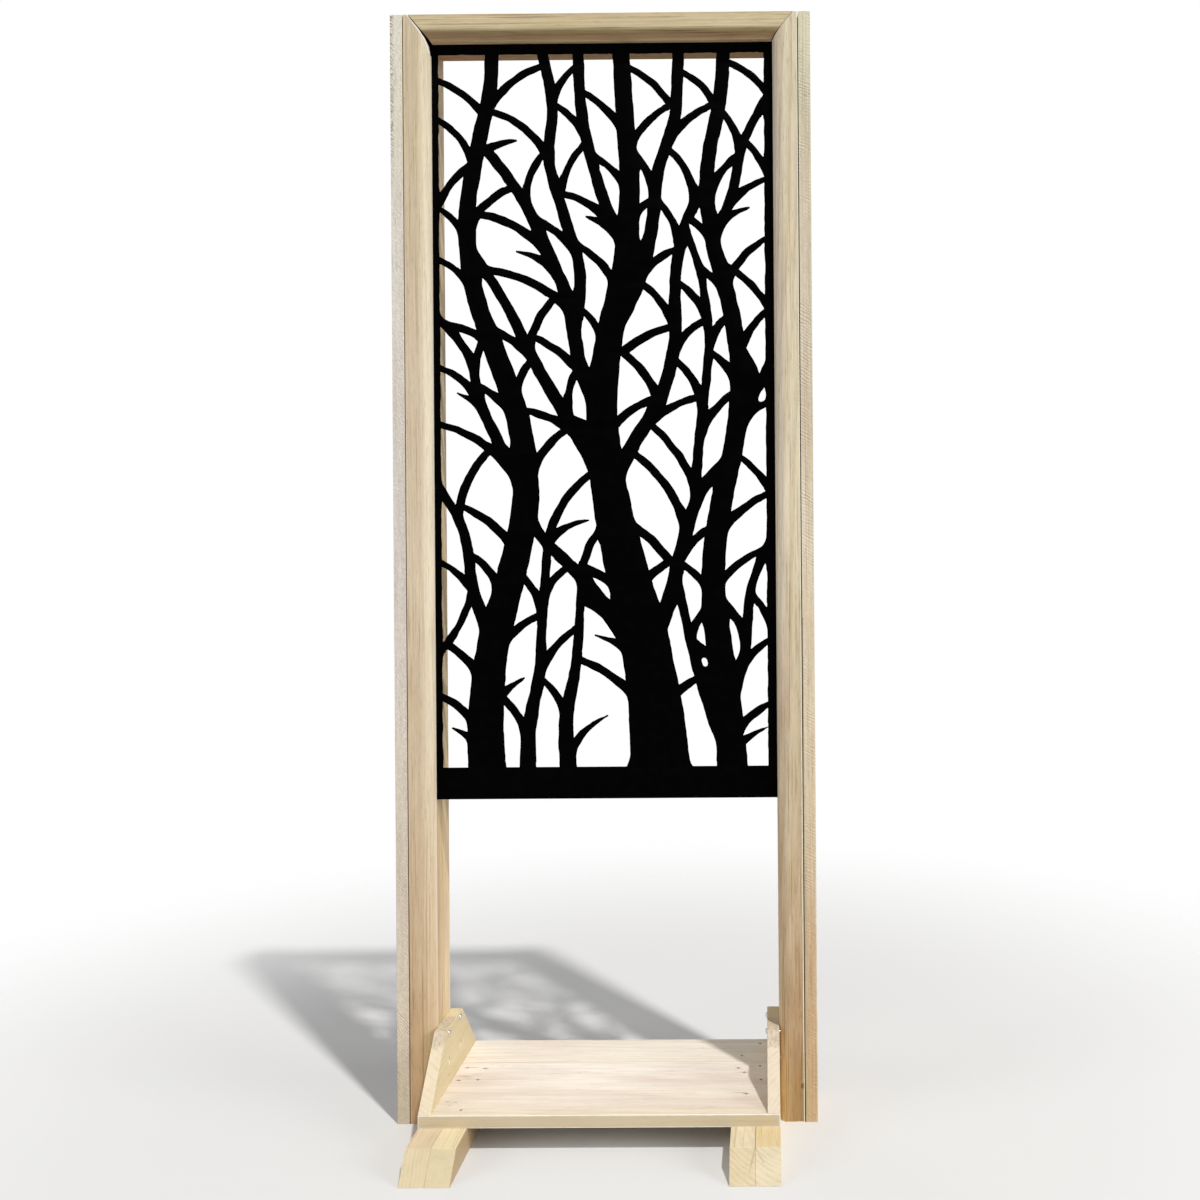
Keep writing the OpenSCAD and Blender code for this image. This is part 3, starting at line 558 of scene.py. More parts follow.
def dress(node, material, slot, width=0.0009, made=None, **k):
    ob = made() if made else rounded(node, width, **k)
    ob.data.materials.clear()
    ob.data.materials.append(material)
    for p in ob.data.polygons:
        p.material_index = 0
    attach(ob, "root")
    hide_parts(node)
    return ob


def paint(node, material):
    o = nodes[node]
    if not o.material_slots:
        o.data.materials.append(material)
    for s in o.material_slots:
        s.link = "OBJECT"
        s.material = material


# ---------------------------------------------------------------- timber
m, how = {}, {}
stile_l, stile_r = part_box("front_stile_left"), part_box("front_stile_right")
gap_in, gap_out = stile_r[1].x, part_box("side_board_right")[0].x
inner, front = stile_r[0].x, stile_r[0].y
top, under_rail = stile_r[1].z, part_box("front_top_rail")[0].z
mid_y = (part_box("core_post_left")[1].y + front) / 2
land_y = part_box("front_stile_left")[1].y
# pale colours for the left moulding's edges: partly wear and partly painted highlight where the eased edges catch the
# light
PALE_AND_LIT = (0.92, 0.88, 0.80)
WORN_AND_LIT = (0.93, 0.90, 0.83)
BROWN = (0.36, 0.25, 0.15)
thick, wide, radius, land = stile_l[1].y - front, gap_in - inner, 0.0175, 0.006
rise = wide / (wide - land)                 # how steeply the mitre climbs
relief = [(0.0, -0.0170), (0.0002, -0.0170), (0.0012, -0.0095), (0.0022, -0.0040), (0.0051, 0.0038), (0.0140, 0.0140 * rise),
          (wide - land, wide), (wide, wide)]
m["front_stile_left"] = wood(
    "wood_front_stile_left", "Z", (-0.52, 0.02), (0.80, 0.67, 0.495), (0.60, 0.45, 0.28), ring=0.0062, seed=1.3, fibre=0.13,
    contrast=0.45, patch=(0.68, 0.50, 0.32), patch_amount=0.55, end=(0.74, 0.61, 0.42), streaks=0.62, flecks=0.14,
    # mitre: painted shade on the mitre's cut faces. arris: paler edges, partly wear and partly painted highlight
    fade=("Z", 0.05, 0.82, (0.62, 0.53, 0.43), (1.0, 1.0, 1.0)), mitre=True, arris=0.25,
    calm=(0.25, 1.1, 0.40), quiet=("X", -inner, 0.0185, 0.35),
    bands=[("Z", [(0.05, (1.07, 1.0, 0.92)), (0.12, (1.15, 1.12, 1.05)), (0.18, (1.03, 1.00, 0.96)), (0.60, (1.0, 0.99, 0.97)),
                  (1.0, (1.0, 1.0, 1.0))], None)],
    # painted shade on the face inside the gap beside the side board, painted light on the rounded inner edge, and a
    # pale line along the inner edge that is partly wear and partly painted highlight
    faces=[("X", -gap_in, 0.0004, None, 0.80), ("X", -inner, 0.0190, (1.08, 1.14, 1.20), None), ("X", -inner, 0.0009, PALE_AND_LIT, 0.30),
           ("Z", top, 0.62, (0.965, 0.965, 0.91), None)],
    # pale lines along the eased mitre edge: partly wear, partly painted highlight where the edge catches the light
    lines=[(-inner - 0.023, under_rail + 0.023 * rise, -gap_in + land, top, 0.0016, 0.60, WORN_AND_LIT),
           (-inner - 0.014, under_rail + 0.014 * rise, -inner - 0.023, under_rail + 0.023 * rise, 0.0030, 0.75, WORN_AND_LIT),
           (-inner - 0.0051, under_rail + 0.0038, -inner - 0.014, under_rail + 0.0168, 0.0036, 0.85, WORN_AND_LIT),
           (-inner - 0.0022, under_rail - 0.004, -inner - 0.0051, under_rail + 0.0038, 0.0036, 0.88, WORN_AND_LIT),
           (-inner - 0.0002, under_rail - 0.017, -inner - 0.0022, under_rail - 0.004, 0.0028, 0.80, WORN_AND_LIT)])
how["front_stile_left"] = dict(made=lambda: moulded(
    "front_stile_left", thick, wide, radius, lambda u, v, t: (-inner - u, front + v, t),
    [([(0, 0.0), (wide, 0.0)], [(0, 0.0006), (wide, 0.0006)], [(0, 0.0006), (wide, 0.0006)]),
     ([(u, under_rail + z) for u, z in relief], [(0, 0.0040), (0.014, 0.0040), (0.024, 0.0020), (wide - land, 0.0010), (wide, 0.0006)],
      [(0, 0.0014), (0.014, 0.0014), (0.024, 0.0010), (wide - land, 0.0007), (wide, 0.0006)])]))
m["front_stile_right"] = wood(
    "wood_front_stile_right", "Z", (0.285, 0.035), (0.85, 0.765, 0.575), (0.58, 0.44, 0.26), ring=0.0060, seed=5.2,
    tilt=(0.012, 0.020), contrast=0.48, patch=(0.60, 0.43, 0.26), patch_amount=0.62, end=(0.74, 0.61, 0.42), streaks=0.62,
    # mitre: painted shade on the mitre's cut faces
    flecks=0.12, fade=("Z", 0.10, 0.95, (0.54, 0.395, 0.28), (1.0, 0.99, 0.965)), calm=(0.35, 1.2, 0.30), arris=0.75, mitre=True,
    knots=[(0.3025, front, 0.056, 0.0034, 1.0)],
    # painted light: the rounded inner edge is lighter and bluer low down, most of all near the floor, as bounce light
    # from the floor
    bands=[("Z", [(0.05, (1.60, 1.68, 1.85)), (0.20, (1.10, 1.17, 1.24)), (0.75, (1.12, 1.11, 1.18)), (1.2, (1.0, 0.97, 1.03))],
            ("X", inner, 0.0225))],
    lines=[(0.3035, 0.040, 0.2965, 0.0, 0.0011, 0.55, BROWN), (0.2890, 0.052, 0.2905, 0.0, 0.0010, 0.40, BROWN),
           (0.3000, 0.034, 0.2940, 0.0, 0.0009, 0.35, BROWN)],
    # painted shade on the face inside the gap and on a thin greyer line along the inner edge; painted light on the
    # rounded inner edge
    faces=[("X", gap_in, 0.0004, None, 0.36), ("X", inner, 0.0120, (1.10, 1.10, 1.10), None), ("X", inner, 0.0009, (0.62, 0.62, 0.62), 0.4), ("Z", 0.0, 0.11, (1.0, 1.05, 0.92), None)])
how["front_stile_right"] = dict(made=lambda: moulded(
    "front_stile_right", thick, wide, radius, lambda u, v, t: (inner + u, front + v, t),
    [([(0, 0.0), (wide, 0.0)], [(0, 0.0006), (wide, 0.0006)], [(0, 0.0006), (wide, 0.0006)]),
     ([(0, under_rail), (wide - land, top), (wide, top)], [(0, 0.0012), (wide - land, 0.0008), (wide, 0.0007)],
      [(0, 0.0009), (wide - land, 0.0007), (wide, 0.0006)])]))
m["front_top_rail"] = wood(
    "wood_front_top_rail", "X", (0.03, 1.50), (0.78, 0.66, 0.43), (0.52, 0.37, 0.21), ring=0.0058, seed=8.1,
    contrast=0.50, patch=(0.64, 0.49, 0.29), patch_amount=0.45, end=(0.74, 0.61, 0.42), streaks=0.60, flecks=0.08, mitre=True,
    # painted shade on the rounded underside, darkest in its middle and lighter again at its lowest edge as painted
    # bounce light; mitre: painted shade on the mitre's cut faces
    bands=[("Z", [(under_rail + 0.0008, (1.05, 0.92, 0.86)), (under_rail + 0.0024, (0.74, 0.60, 0.48)),
                  (under_rail + 0.0045, (0.60, 0.47, 0.38)), (under_rail + 0.0080, (0.52, 0.42, 0.32)),
                  (under_rail + 0.0112, (0.57, 0.52, 0.40)), (under_rail + 0.0140, (0.79, 0.77, 0.67)),
                  (under_rail + 0.0170, (1.0, 0.995, 0.955))], None)])
rail_l, rail_r = -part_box("front_top_rail")[0].x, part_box("front_top_rail")[1].x
how["front_top_rail"] = dict(made=lambda: moulded(
    "front_top_rail", thick, wide, radius, lambda u, v, t: (t, front + v, under_rail + u),
    [([(0, -rail_l + wide / rise), (wide, -rail_l)], [(0, 0.0010), (wide, 0.0008)], [(0, 0.0010), (wide, 0.0008)]),
     ([(0, rail_r - wide / rise), (wide, rail_r)], [(0, 0.0010), (wide, 0.0008)], [(0, 0.0010), (wide, 0.0008)])]))
m["side_board_left"] = wood(
    "wood_side_board_left", "Z", (-0.37, 0.06), (0.90, 0.845, 0.725), (0.73, 0.655, 0.53), ring=0.0052, seed=12.4,
    contrast=0.33, patch=(0.79, 0.715, 0.57), patch_amount=0.4, end=(0.70, 0.60, 0.45),
    saw=("Y", 0.0052, 0.00030, 1.1, 0.17, (1.52, 1.90, 1), (0.16, 0.42, 0.30)), rough=0.66,
    # painted shade: the face inside the gap beside the moulding is darker and browner
    fade=("Z", 0.0, 1.3, (0.70, 0.645, 0.565), (1.0, 1.0, 1.0)), faces=[("X", -gap_out, 0.0004, (0.86, 0.76, 0.64), None)],
    bands=[("Z", [(0.0, (0.985, 0.97, 0.97)), (0.9, (0.965, 0.955, 1.04)), (1.3, (0.975, 0.97, 1.02)), (top, (1.01, 1.04, 1.02))], None)])
m["side_board_right"] = wood(
    "wood_side_board_right", "Z", (0.40, -0.03), (0.88, 0.78, 0.59), (0.67, 0.51, 0.34), ring=0.0050, seed=17.9,
    contrast=0.42, patch=(0.72, 0.54, 0.35), patch_amount=0.5, end=(0.74, 0.61, 0.42), arris=0.25, streaks=0.30,
    saw=("Y", 0.0052, 0.00014, 0.5, 0.085), rough=0.60, fade=("Z", 0.05, 0.9, (0.65, 0.53, 0.41), (1.0, 1.0, 1.0)),
    # painted shadow: a dark line along the gap on the lower part of the board, and painted shade on the face inside the
    # gap
    lines=[(gap_out + 0.0005, 0.0, gap_out + 0.0005, 0.78, 0.0013, 0.72, (0.10, 0.072, 0.048))],
    faces=[("X", gap_out, 0.0004, None, 0.36), ("Z", 1.27, 0.44, (0.87, 0.86, 0.87), None), ("Z", top, 0.30, (0.92, 1.0, 1.0), None)])
m["core_post_left"] = wood(
    "wood_core_post_left", "Z", (-0.30, 0.20), (0.83, 0.65, 0.42), (0.60, 0.42, 0.24), ring=0.0052, seed=21.5,
    contrast=0.45, patch=(0.70, 0.51, 0.30), patch_amount=0.5, end=(0.70, 0.55, 0.36), streaks=0.45, flecks=0.06,
    # painted light: lighter from the panel's bottom up, behind the panel; painted shade: darker on the inner face near
    # the moulding, lighter towards the back
    fade=("Z", 0.47, 0.60, (1.0, 1.0, 1.0), (1.12, 1.16, 1.16)),
    bands=[("Y", [(land_y, (0.72, 0.67, 0.61)), (land_y + 0.024, (0.89, 0.88, 0.83)), (land_y + 0.042, (0.99, 0.99, 0.98)),
                  (land_y + 0.066, (1.02, 1.03, 1.07))], None)])
m["core_post_right"] = wood(
    "wood_core_post_right", "Z", (0.31, -0.16), (0.80, 0.62, 0.40), (0.58, 0.40, 0.22), ring=0.0056, seed=26.8,
    contrast=0.45, patch=(0.68, 0.49, 0.29), patch_amount=0.5, end=(0.70, 0.55, 0.36), streaks=0.40, flecks=0.06,
    # painted shade on the front face, at the bottom of the gap beside the moulding
    faces=[("Y", land_y, 0.0008, None, 0.30)])
m["core_top_rail"] = wood(
    "wood_core_top_rail", "X", (0.02, 1.62), (0.81, 0.65, 0.43), (0.60, 0.43, 0.24), ring=0.0055, seed=31.2,
    contrast=0.50, patch=(0.70, 0.52, 0.31), patch_amount=0.5, end=(0.70, 0.55, 0.36), streaks=0.4,
    # painted shade: the underside is browner
    faces=[("Z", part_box("core_top_rail")[0].z, 0.0012, (0.90, 0.735, 0.63), None)])
shelf_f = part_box("shelf_front_board")
# dark dashes on the shelf: splits along the grain, and marks at the nails that are partly splits and partly painted
# shade of the sunk nail holes
splits_and_shaded_nail_holes = [(-0.232, 0.004, 0.0009, 0.014, 0.75), (-0.226, -0.002, 0.0007, 0.009, 0.55), (-0.215, 0.012, 0.0007, 0.009, 0.5),
          (-0.238, -0.0105, 0.0012, 0.0060, 0.85), (-0.208, -0.0085, 0.0012, 0.0050, 0.75), (-0.236, 0.0355, 0.0012, 0.0060, 0.80),
          (-0.206, 0.0325, 0.0013, 0.0065, 0.90), (-0.226, 0.036, 0.0008, 0.012, 0.55), (-0.236, -0.084, 0.0010, 0.004, 0.6),
          (-0.222, -0.086, 0.0013, 0.003, 0.6), (-0.230, -0.096, 0.0010, 0.003, 0.5),
          (0.208, 0.014, 0.0009, 0.014, 0.65), (0.211, 0.0135, 0.0013, 0.0060, 0.85), (0.201, 0.0295, 0.0011, 0.0060, 0.70),
          (0.215, -0.0615, 0.0013, 0.0060, 0.85), (0.226, 0.036, 0.0006, 0.011, 0.45), (0.206, -0.058, 0.0008, 0.013, 0.6)]
m["shelf_front_board"] = wood(
    "wood_shelf_front_board", "X", (-0.02, -0.10), (0.89, 0.82, 0.715), (0.71, 0.58, 0.475), ring=0.0074, seed=37.7,
    tilt=(0.075, 0.02), contrast=0.42, patch=(0.755, 0.645, 0.56), patch_amount=0.75, end=(0.78, 0.66, 0.45), streaks=0.26,
    streak=(0.64, 0.50, 0.41), flecks=0.05, fibre=0.10, arris=0.7, fade=("Y", -0.120, 0.060, (0.84, 0.81, 0.765), (1.0, 1.0, 1.02)),
    # the second entry is painted shade: the front edge face is darker than the top
    faces=[("Y", shelf_f[0].y, 0.026, (1.0, 0.985, 0.91), None), ("Y", shelf_f[0].y, 0.0012, (0.52, 0.43, 0.27), 0.72),
           ("Y", shelf_f[1].y, 0.0020, (0.40, 0.31, 0.22), 0.40)],
    marks=[(x, y, shelf_f[1].z, ra * 1.35, rl * 1.25, (0.20, 0.11, 0.065), min(1.0, k * 1.15)) for x, y, ra, rl, k in splits_and_shaded_nail_holes])
m["shelf_rear_board"] = wood(
    "wood_shelf_rear_board", "X", (0.16, -0.06), (0.89, 0.815, 0.70), (0.73, 0.60, 0.49), ring=0.0060, seed=42.1,
    contrast=0.50, patch=(0.77, 0.65, 0.53), patch_amount=0.45, end=(0.78, 0.66, 0.45), streaks=0.24, streak=(0.60, 0.47, 0.38),
    flecks=0.05, fibre=0.10, faces=[("Y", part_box("shelf_rear_board")[0].y, 0.0014, (0.40, 0.31, 0.22), 0.30)])
for side, node, pith, seed, z0, y1 in (("l", "cleat_left", (-0.21, 0.20), 47.6, 0.125, 0.022), ("r", "cleat_right", (0.30, 0.03), 53.3, 0.124, 0.012)):
    m[node] = wood(
        "wood_" + node, "Y", pith, (0.71, 0.605, 0.38), (0.575, 0.445, 0.245), ring=0.0060, seed=seed, contrast=0.38,
        patch=(0.64, 0.515, 0.30), patch_amount=0.6, end=(0.68, 0.585, 0.425) if side == "l" else (0.66, 0.57, 0.44), fibre=0.10, flecks=0.05, streaks=0.20,
        torn=(z0, y1, (0.54, 0.45, 0.35), (0.27, 0.20, 0.14)),
        marks=[(-0.248, mid_y - 0.033, 0.0905, 0.0042, 0.0034, (0.95, 0.91, 0.82), 0.9),
               (-0.248, mid_y + 0.033, 0.0905, 0.0040, 0.0030, (0.95, 0.91, 0.82), 0.7),
               (-0.248, mid_y - 0.034, 0.072, 0.0024, 0.0020, (0.20, 0.14, 0.09), 0.9),
               (-0.248, mid_y + 0.020, 0.090, 0.0020, 0.0016, (0.25, 0.17, 0.11), 0.8),
               (-0.248, mid_y - 0.010, 0.110, 0.0010, 0.0036, (0.40, 0.30, 0.18), 0.7)] if side == "l" else ())
    how[node] = dict(shape=torn_end(z0, y1))
foot_y0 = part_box("foot_left_inner")[0].y
for node, pith, seed, light, dark, end, con, extra, lines_, tilt in (
        ("foot_left_outer", (-0.90, 0.02), 61.0, (0.70, 0.57, 0.385), (0.54, 0.39, 0.235), (0.58, 0.49, 0.32), 0.30, [], [], (0.0, 0.0)),
        ("foot_left_inner", (-0.205, 0.100), 66.2, (0.73, 0.62, 0.395), (0.57, 0.435, 0.235), (0.585, 0.495, 0.32), 0.09,
         # painted shade: the inner side of the left foot, under the shelf, is much darker
         [("X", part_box("foot_left_inner")[1].x, 0.0012, (0.34, 0.225, 0.125), 0.72)], [], (0.0, 0.0)),
        ("foot_right_inner", (0.262, 0.150), 71.9, (0.72, 0.62, 0.43), (0.53, 0.40, 0.24), (0.595, 0.50, 0.33), 0.50, [],
         [(0.2302, 0.037, 0.2240, 0.020, 0.0010, 0.60, BROWN), (0.2302, 0.030, 0.2210, 0.012, 0.0008, 0.40, BROWN)], (0.10, 0.05)),
        ("foot_right_outer", (0.300, 0.160), 77.4, (0.69, 0.55, 0.315), (0.60, 0.44, 0.225), (0.62, 0.54, 0.38), 0.60, [],
         [(0.2306, 0.037, 0.2420, 0.022, 0.0009, 0.45, BROWN)], (0.0, 0.0))):
    m[node] = wood(
        "wood_" + node, "Y", pith, light, dark, ring=0.0055, seed=seed, contrast=0.50, patch=[(a + b) / 2 for a, b in zip(light, dark)],
        patch_amount=0.50, end=end, end_contrast=con, fibre=0.11, flecks=0.06, streaks=0.30, faces=extra, lines=lines_, tilt=tilt)

SLOTS = {s["node"]: s["material_slot"] for s in frame["record"]["subparts"]}
for node, mat in m.items():
    dress(node, mat, SLOTS[node], **how.get(node, {}))

# ---------------------------------------------------------------- black panel
n = Net("black_coat")
pos = n.position()
peel = n.noise(pos, scale=1500.0, detail=2.0)
dust = n.noise(pos, scale=60.0, detail=3.0)
mat_black = n.finish(n.mix(n.span(dust, 0.45, 0.75), (0.0003, 0.0003, 0.00035), (0.0007, 0.0007, 0.0008)),
                     n.span(dust, 0.3, 0.7, 0.50, 0.62), n.mul(peel, 0.00002), Specular_IOR_Level=0.025)


def chains(edges):
    """Closed loops of vertices along a set of boundary edges."""
    step = {}
    for e in edges:
        for v in e.verts:
            step.setdefault(v, []).append(e.other_vert(v))
    left, loops = set(step), []
    while left:
        start = min(left, key=lambda v: (round(v.co.x, 6), round(v.co.z, 6)))
        loop, last, v = [], None, start
        while v is not None and v in left:
            loop.append(v)
            left.discard(v)
            nxt = [u for u in step[v] if u is not last and u in left]
            last, v = v, (nxt[0] if nxt else None)
        loops.append([Vector((u.co.x, u.co.z)) for u in loop])
    return loops


def pointed(loop, short=0.0034, reach=0.009, tip=0.0007):
    """An opening with the small arcs in its corners run out to points. Gives its points, and whether each is a tip."""
    count = len(loop)
    area = sum(p.x * q.y - q.x * p.y for p, q in zip(loop, loop[1:] + loop[:1]))
    edge = [loop[(i + 1) % count] - loop[i] for i in range(count)]
    small = [e.length <= short for e in edge]
    if count < 6 or all(small):
        return [(p, False) for p in loop]
    first = next(i for i in range(count) if not small[i] and small[i - 1] is False) if any(
        not small[i] and not small[i - 1] for i in range(count)) else next(i for i in range(count) if not small[i])
    loop = loop[first:] + loop[:first]
    edge, small = edge[first:] + edge[:first], small[first:] + small[:first]
    out, i = [], 0
    while i < count:
        if not small[i]:
            out.append((loop[i], False))
            i += 1
            continue
        j = i
        while j < count and small[j]:
            j += 1
        d0, d1 = edge[i - 1].normalized(), edge[j % count].normalized()
        cross = d0.x * d1.y - d0.y * d1.x
        turn = math.degrees(math.atan2(cross, d0.dot(d1)))
        p, q = loop[i], loop[j % count]
        if abs(turn) > 48 and turn * area > 0 and (q - p).length < 0.011:
            gap = q - p
            mid = (p + q) / 2
            if abs(cross) > 0.05:
                k = (gap.x * d1.y - gap.y * d1.x) / cross
                apex = p + d0 * k
            else:
                apex = mid + d0 * reach
            if (apex - mid).length > reach:
                apex = mid + (apex - mid).normalized() * reach
            out.append((p, False))
            for end_ in (p, q):
                away = end_ - apex
                out.append((apex + away.normalized() * min(tip, away.length * 0.3) if away.length > 1e-6 else apex, True))
        else:
            out += [(loop[k], False) for k in range(i, j)]
        i = j
    return out


def eased(loop, left, right, low, high, step=0.0024, rounds=14):
    """A closed outline with its facets run into each other as one curve. The corners where branches meet stay as
    they are, and so do the straight sides of the border."""
    loop = pointed(loop)
    pts, tips = [], []
    for i, (p0, tip) in enumerate(loop):
        p1, tip1 = loop[(i + 1) % len(loop)]
        n = 1 if tip and tip1 else max(1, round((p1 - p0).length / step))
        pts += [p0.lerp(p1, k / n) for k in range(n)]
        tips += [tip] + [False] * (n - 1)
    count = len(pts)
    if count < 12:
        return [p for p, _ in loop]
    span = 3
    give = []
    for i, p in enumerate(pts):
        d0, d1 = p - pts[i - span], pts[(i + span) % count] - p
        turn = abs(math.degrees(d0.angle_signed(d1, 0))) if d0.length > 1e-6 and d1.length > 1e-6 else 180
        border = min(abs(p.x - left), abs(p.x - right), abs(p.y - low), abs(p.y - high)) < 0.0006
        near_tip = any(tips[(i + k) % count] for k in (-1, 0, 1))
        give.append(0.0 if border or near_tip else min(1.0, max(0.0, (62 - turn) / 30)))
    give = [min(give[i - 1], give[i], give[(i + 1) % count]) for i in range(count)]
    for _ in range(rounds):
        pts = [p.lerp((pts[i - 1] + pts[(i + 1) % count]) / 2, 0.5 * give[i]) for i, p in enumerate(pts)]
    out = []
    for i, p in enumerate(pts):
        # a slight waver, as drawn bark has
        t = pts[(i + 1) % count] - pts[i - 1]
        if t.length > 1e-7 and give[i] > 0:
            w = noise.noise(Vector((p.x * 42, p.y * 42, 3.7))) * 0.0013 + noise.noise(Vector((p.x * 120, p.y * 120, 9.1))) * 0.0005
            p = p + Vector((-t.y, t.x)).normalized() * w * give[i]
        out.append(p)
    return out


lo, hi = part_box("branch_panel")
bm = bmesh.new()
bm.from_mesh(nodes["branch_panel"].data)
bmesh.ops.remove_doubles(bm, verts=bm.verts, dist=2e-6)
bm.normal_update()
front = {f for f in bm.faces if f.normal.y < -0.9}
loops = chains([e for e in bm.edges if sum(f in front for f in e.link_faces) == 1])
bm.free()
sheet_t, edge_b = hi.y - lo.y, 0.00035
# the straight sides of the border, from the openings that touch them
sides_x = [p.x for l in loops for p in l if len(l) > 8]
inner_x = sorted(set(round(x, 4) for x in sides_x if abs(x) < 0.29))
inner_z = sorted(set(round(p.y, 4) for l in loops for p in l if len(l) > 8 and max(q.y for q in l) - min(q.y for q in l) < 1.0))
cu = bpy.data.curves.new("cut_sheet", "CURVE")
cu.dimensions, cu.fill_mode = "2D", "BOTH"
cu.extrude, cu.bevel_depth, cu.bevel_resolution, cu.offset = sheet_t / 2 - edge_b, edge_b, 1, -edge_b
for loop in loops:
    xs, zs = [p.x for p in loop], [p.y for p in loop]
    big = max(xs) - min(xs) > 0.5
    hole = max(xs) - min(xs) < 0.008
    pts = loop if big or hole else eased(loop, inner_x[0], inner_x[-1], inner_z[0], inner_z[-1])
    sp = cu.splines.new("POLY")
    sp.points.add(len(pts) - 1)
    for q, p in zip(sp.points, pts):
        q.co = (p.x, p.y, 0, 1)
    sp.use_cyclic_u = True
tmp = bpy.data.objects.new("cut_sheet", cu)
scene.collection.objects.link(tmp)
bpy.context.view_layer.update()
me = bpy.data.meshes.new_from_object(tmp.evaluated_get(bpy.context.evaluated_depsgraph_get()))
bpy.data.objects.remove(tmp)
me.transform(Matrix.Translation((0, (lo.y + hi.y) / 2, 0)) @ Matrix.Rotation(math.radians(90), 4, "X"))
bm = bmesh.new()
bm.from_mesh(me)
bmesh.ops.remove_doubles(bm, verts=bm.verts, dist=1e-6)
bmesh.ops.recalc_face_normals(bm, faces=bm.faces)
bm.to_mesh(me)
print("panel", len(loops), "loops", len(me.polygons), "faces, open edges", sum(not e.is_manifold for e in bm.edges))
bm.free()
for p in me.polygons:
    p.use_smooth = True
me.set_sharp_from_angle(angle=math.radians(38))
me.materials.clear()
me.materials.append(mat_black)
panel = bpy.data.objects.new("cut_panel", me)
scene.collection.objects.link(panel)
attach(panel, "root")
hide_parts("branch_panel")

# ---------------------------------------------------------------- fasteners
n = Net("bright_zinc")
pos = n.position()
br = n.noise(pos, scale=900.0, detail=2.0)
mat_zinc = n.finish(n.mix(br, (0.62, 0.62, 0.64), (0.80, 0.80, 0.83)), n.span(br, 0.3, 0.7, 0.22, 0.36), n.mul(br, 0.00002), Metallic=1.0)
# nail heads: dark brown, partly dull steel and partly painted shade of the holes they are sunk in
n = Net("dull_shaded_nail")
pos = n.position()
br = n.noise(pos, scale=700.0, detail=3.0)
mat_nail_shaded = n.finish(n.mix(br, (0.055, 0.043, 0.034), (0.15, 0.12, 0.10)), n.span(br, 0.3, 0.7, 0.5, 0.75), n.mul(br, 0.00004), Metallic=0.5)
for node in ("moulding_screws", "side_board_screws", "corner_screws", "cleat_base_screws"):
    paint(node, mat_zinc)
paint("shelf_nails", mat_nail_shaded)


def cross_head(radius, height):
    """A pan head on z = 0 with a cross recess."""
    prof = [(1.0, 0.0), (1.0, 0.16), (0.985, 0.28), (0.945, 0.42), (0.87, 0.57), (0.76, 0.71), (0.62, 0.83), (0.45, 0.92), (0.25, 0.98), (0.0, 1.0)]
    bm, n = bmesh.new(), 48
    rings = [[bm.verts.new((radius * r * math.cos(2 * math.pi * i / n), radius * r * math.sin(2 * math.pi * i / n), height * h)) for i in range(n)]
             for r, h in prof[:-1]]
    tip, foot = bm.verts.new((0, 0, height)), bm.verts.new((0, 0, 0))
    for a, b in zip(rings, rings[1:]):
        for i in range(n):
            bm.faces.new((a[i], a[(i + 1) % n], b[(i + 1) % n], b[i]))
    for i in range(n):
        bm.faces.new((rings[-1][i], rings[-1][(i + 1) % n], tip))
        bm.faces.new((rings[0][(i + 1) % n], rings[0][i], foot))
    me = bpy.data.meshes.new("head")
    bm.to_mesh(me)
    bm.free()
    arm, w = radius * 0.56, radius * 0.13
    plus = [(w, w), (arm, w), (arm, -w), (w, -w), (w, -arm), (-w, -arm), (-w, -w), (-arm, -w), (-arm, w), (-w, w), (-w, arm), (w, arm)]
    bm = bmesh.new()
    up = [bm.verts.new((x, y, height * 1.2)) for x, y in plus]
    down = [bm.verts.new((x * 0.50, y * 0.50, height * 0.30)) for x, y in plus]
    bm.faces.new(up)
    bm.faces.new(down[::-1])
    for i in range(12):
        bm.faces.new((up[i], down[i], down[(i + 1) % 12], up[(i + 1) % 12]))
    bmesh.ops.recalc_face_normals(bm, faces=bm.faces)
    mc = bpy.data.meshes.new("recess")
    bm.to_mesh(mc)
    bm.free()
    oh, oc = bpy.data.objects.new("head", me), bpy.data.objects.new("recess", mc)
    for o in (oh, oc):
        scene.collection.objects.link(o)
    mod = oh.modifiers.new("cut", "BOOLEAN")
    mod.operation, mod.solver, mod.object = "DIFFERENCE", "EXACT", oc
    bpy.context.view_layer.update()
    done = bpy.data.meshes.new_from_object(oh.evaluated_get(bpy.context.evaluated_depsgraph_get()))
    for o in (oh, oc):
        bpy.data.objects.remove(o)
    return done


head = cross_head(0.00425, 0.00268)
bm = bmesh.new()
bm.from_mesh(nodes["cleat_screws"].data)
bmesh.ops.remove_doubles(bm, verts=bm.verts, dist=1e-6)
cleat_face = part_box("cleat_right")[0].x
places = []
for s_ in (-1, 1):
    proud = [v.co for v in bm.verts if 0 < s_ * v.co.x < cleat_face - 0.0025]
    for back in (False, True):
        c = [p for p in proud if (p.y > mid_y) == back]
        places.append((s_, sum(p.y for p in c) / len(c), sum(p.z for p in c) / len(c)))
gone = [f for f in bm.faces if all(abs(v.co.x) < cleat_face + 1e-5 for v in f.verts)]
bmesh.ops.delete(bm, geom=gone, context="FACES")
rims = [e for e in bm.edges if e.is_boundary]
bmesh.ops.holes_fill(bm, edges=rims, sides=0)
for i, (s_, y, z) in enumerate(places):
    place = Matrix.Translation((s_ * cleat_face, y, z)) @ Matrix.Rotation(math.radians(-90 * s_), 4, "Y") @ Matrix.Rotation(math.radians((20, 52, 8, 71)[i]), 4, "Z")
    part = head.copy()
    part.transform(place)
    bm.from_mesh(part)
me = bpy.data.meshes.new("cross_screws")
bm.to_mesh(me)
bm.free()
for p in me.polygons:
    p.use_smooth = True
me.set_sharp_from_angle(angle=math.radians(32))
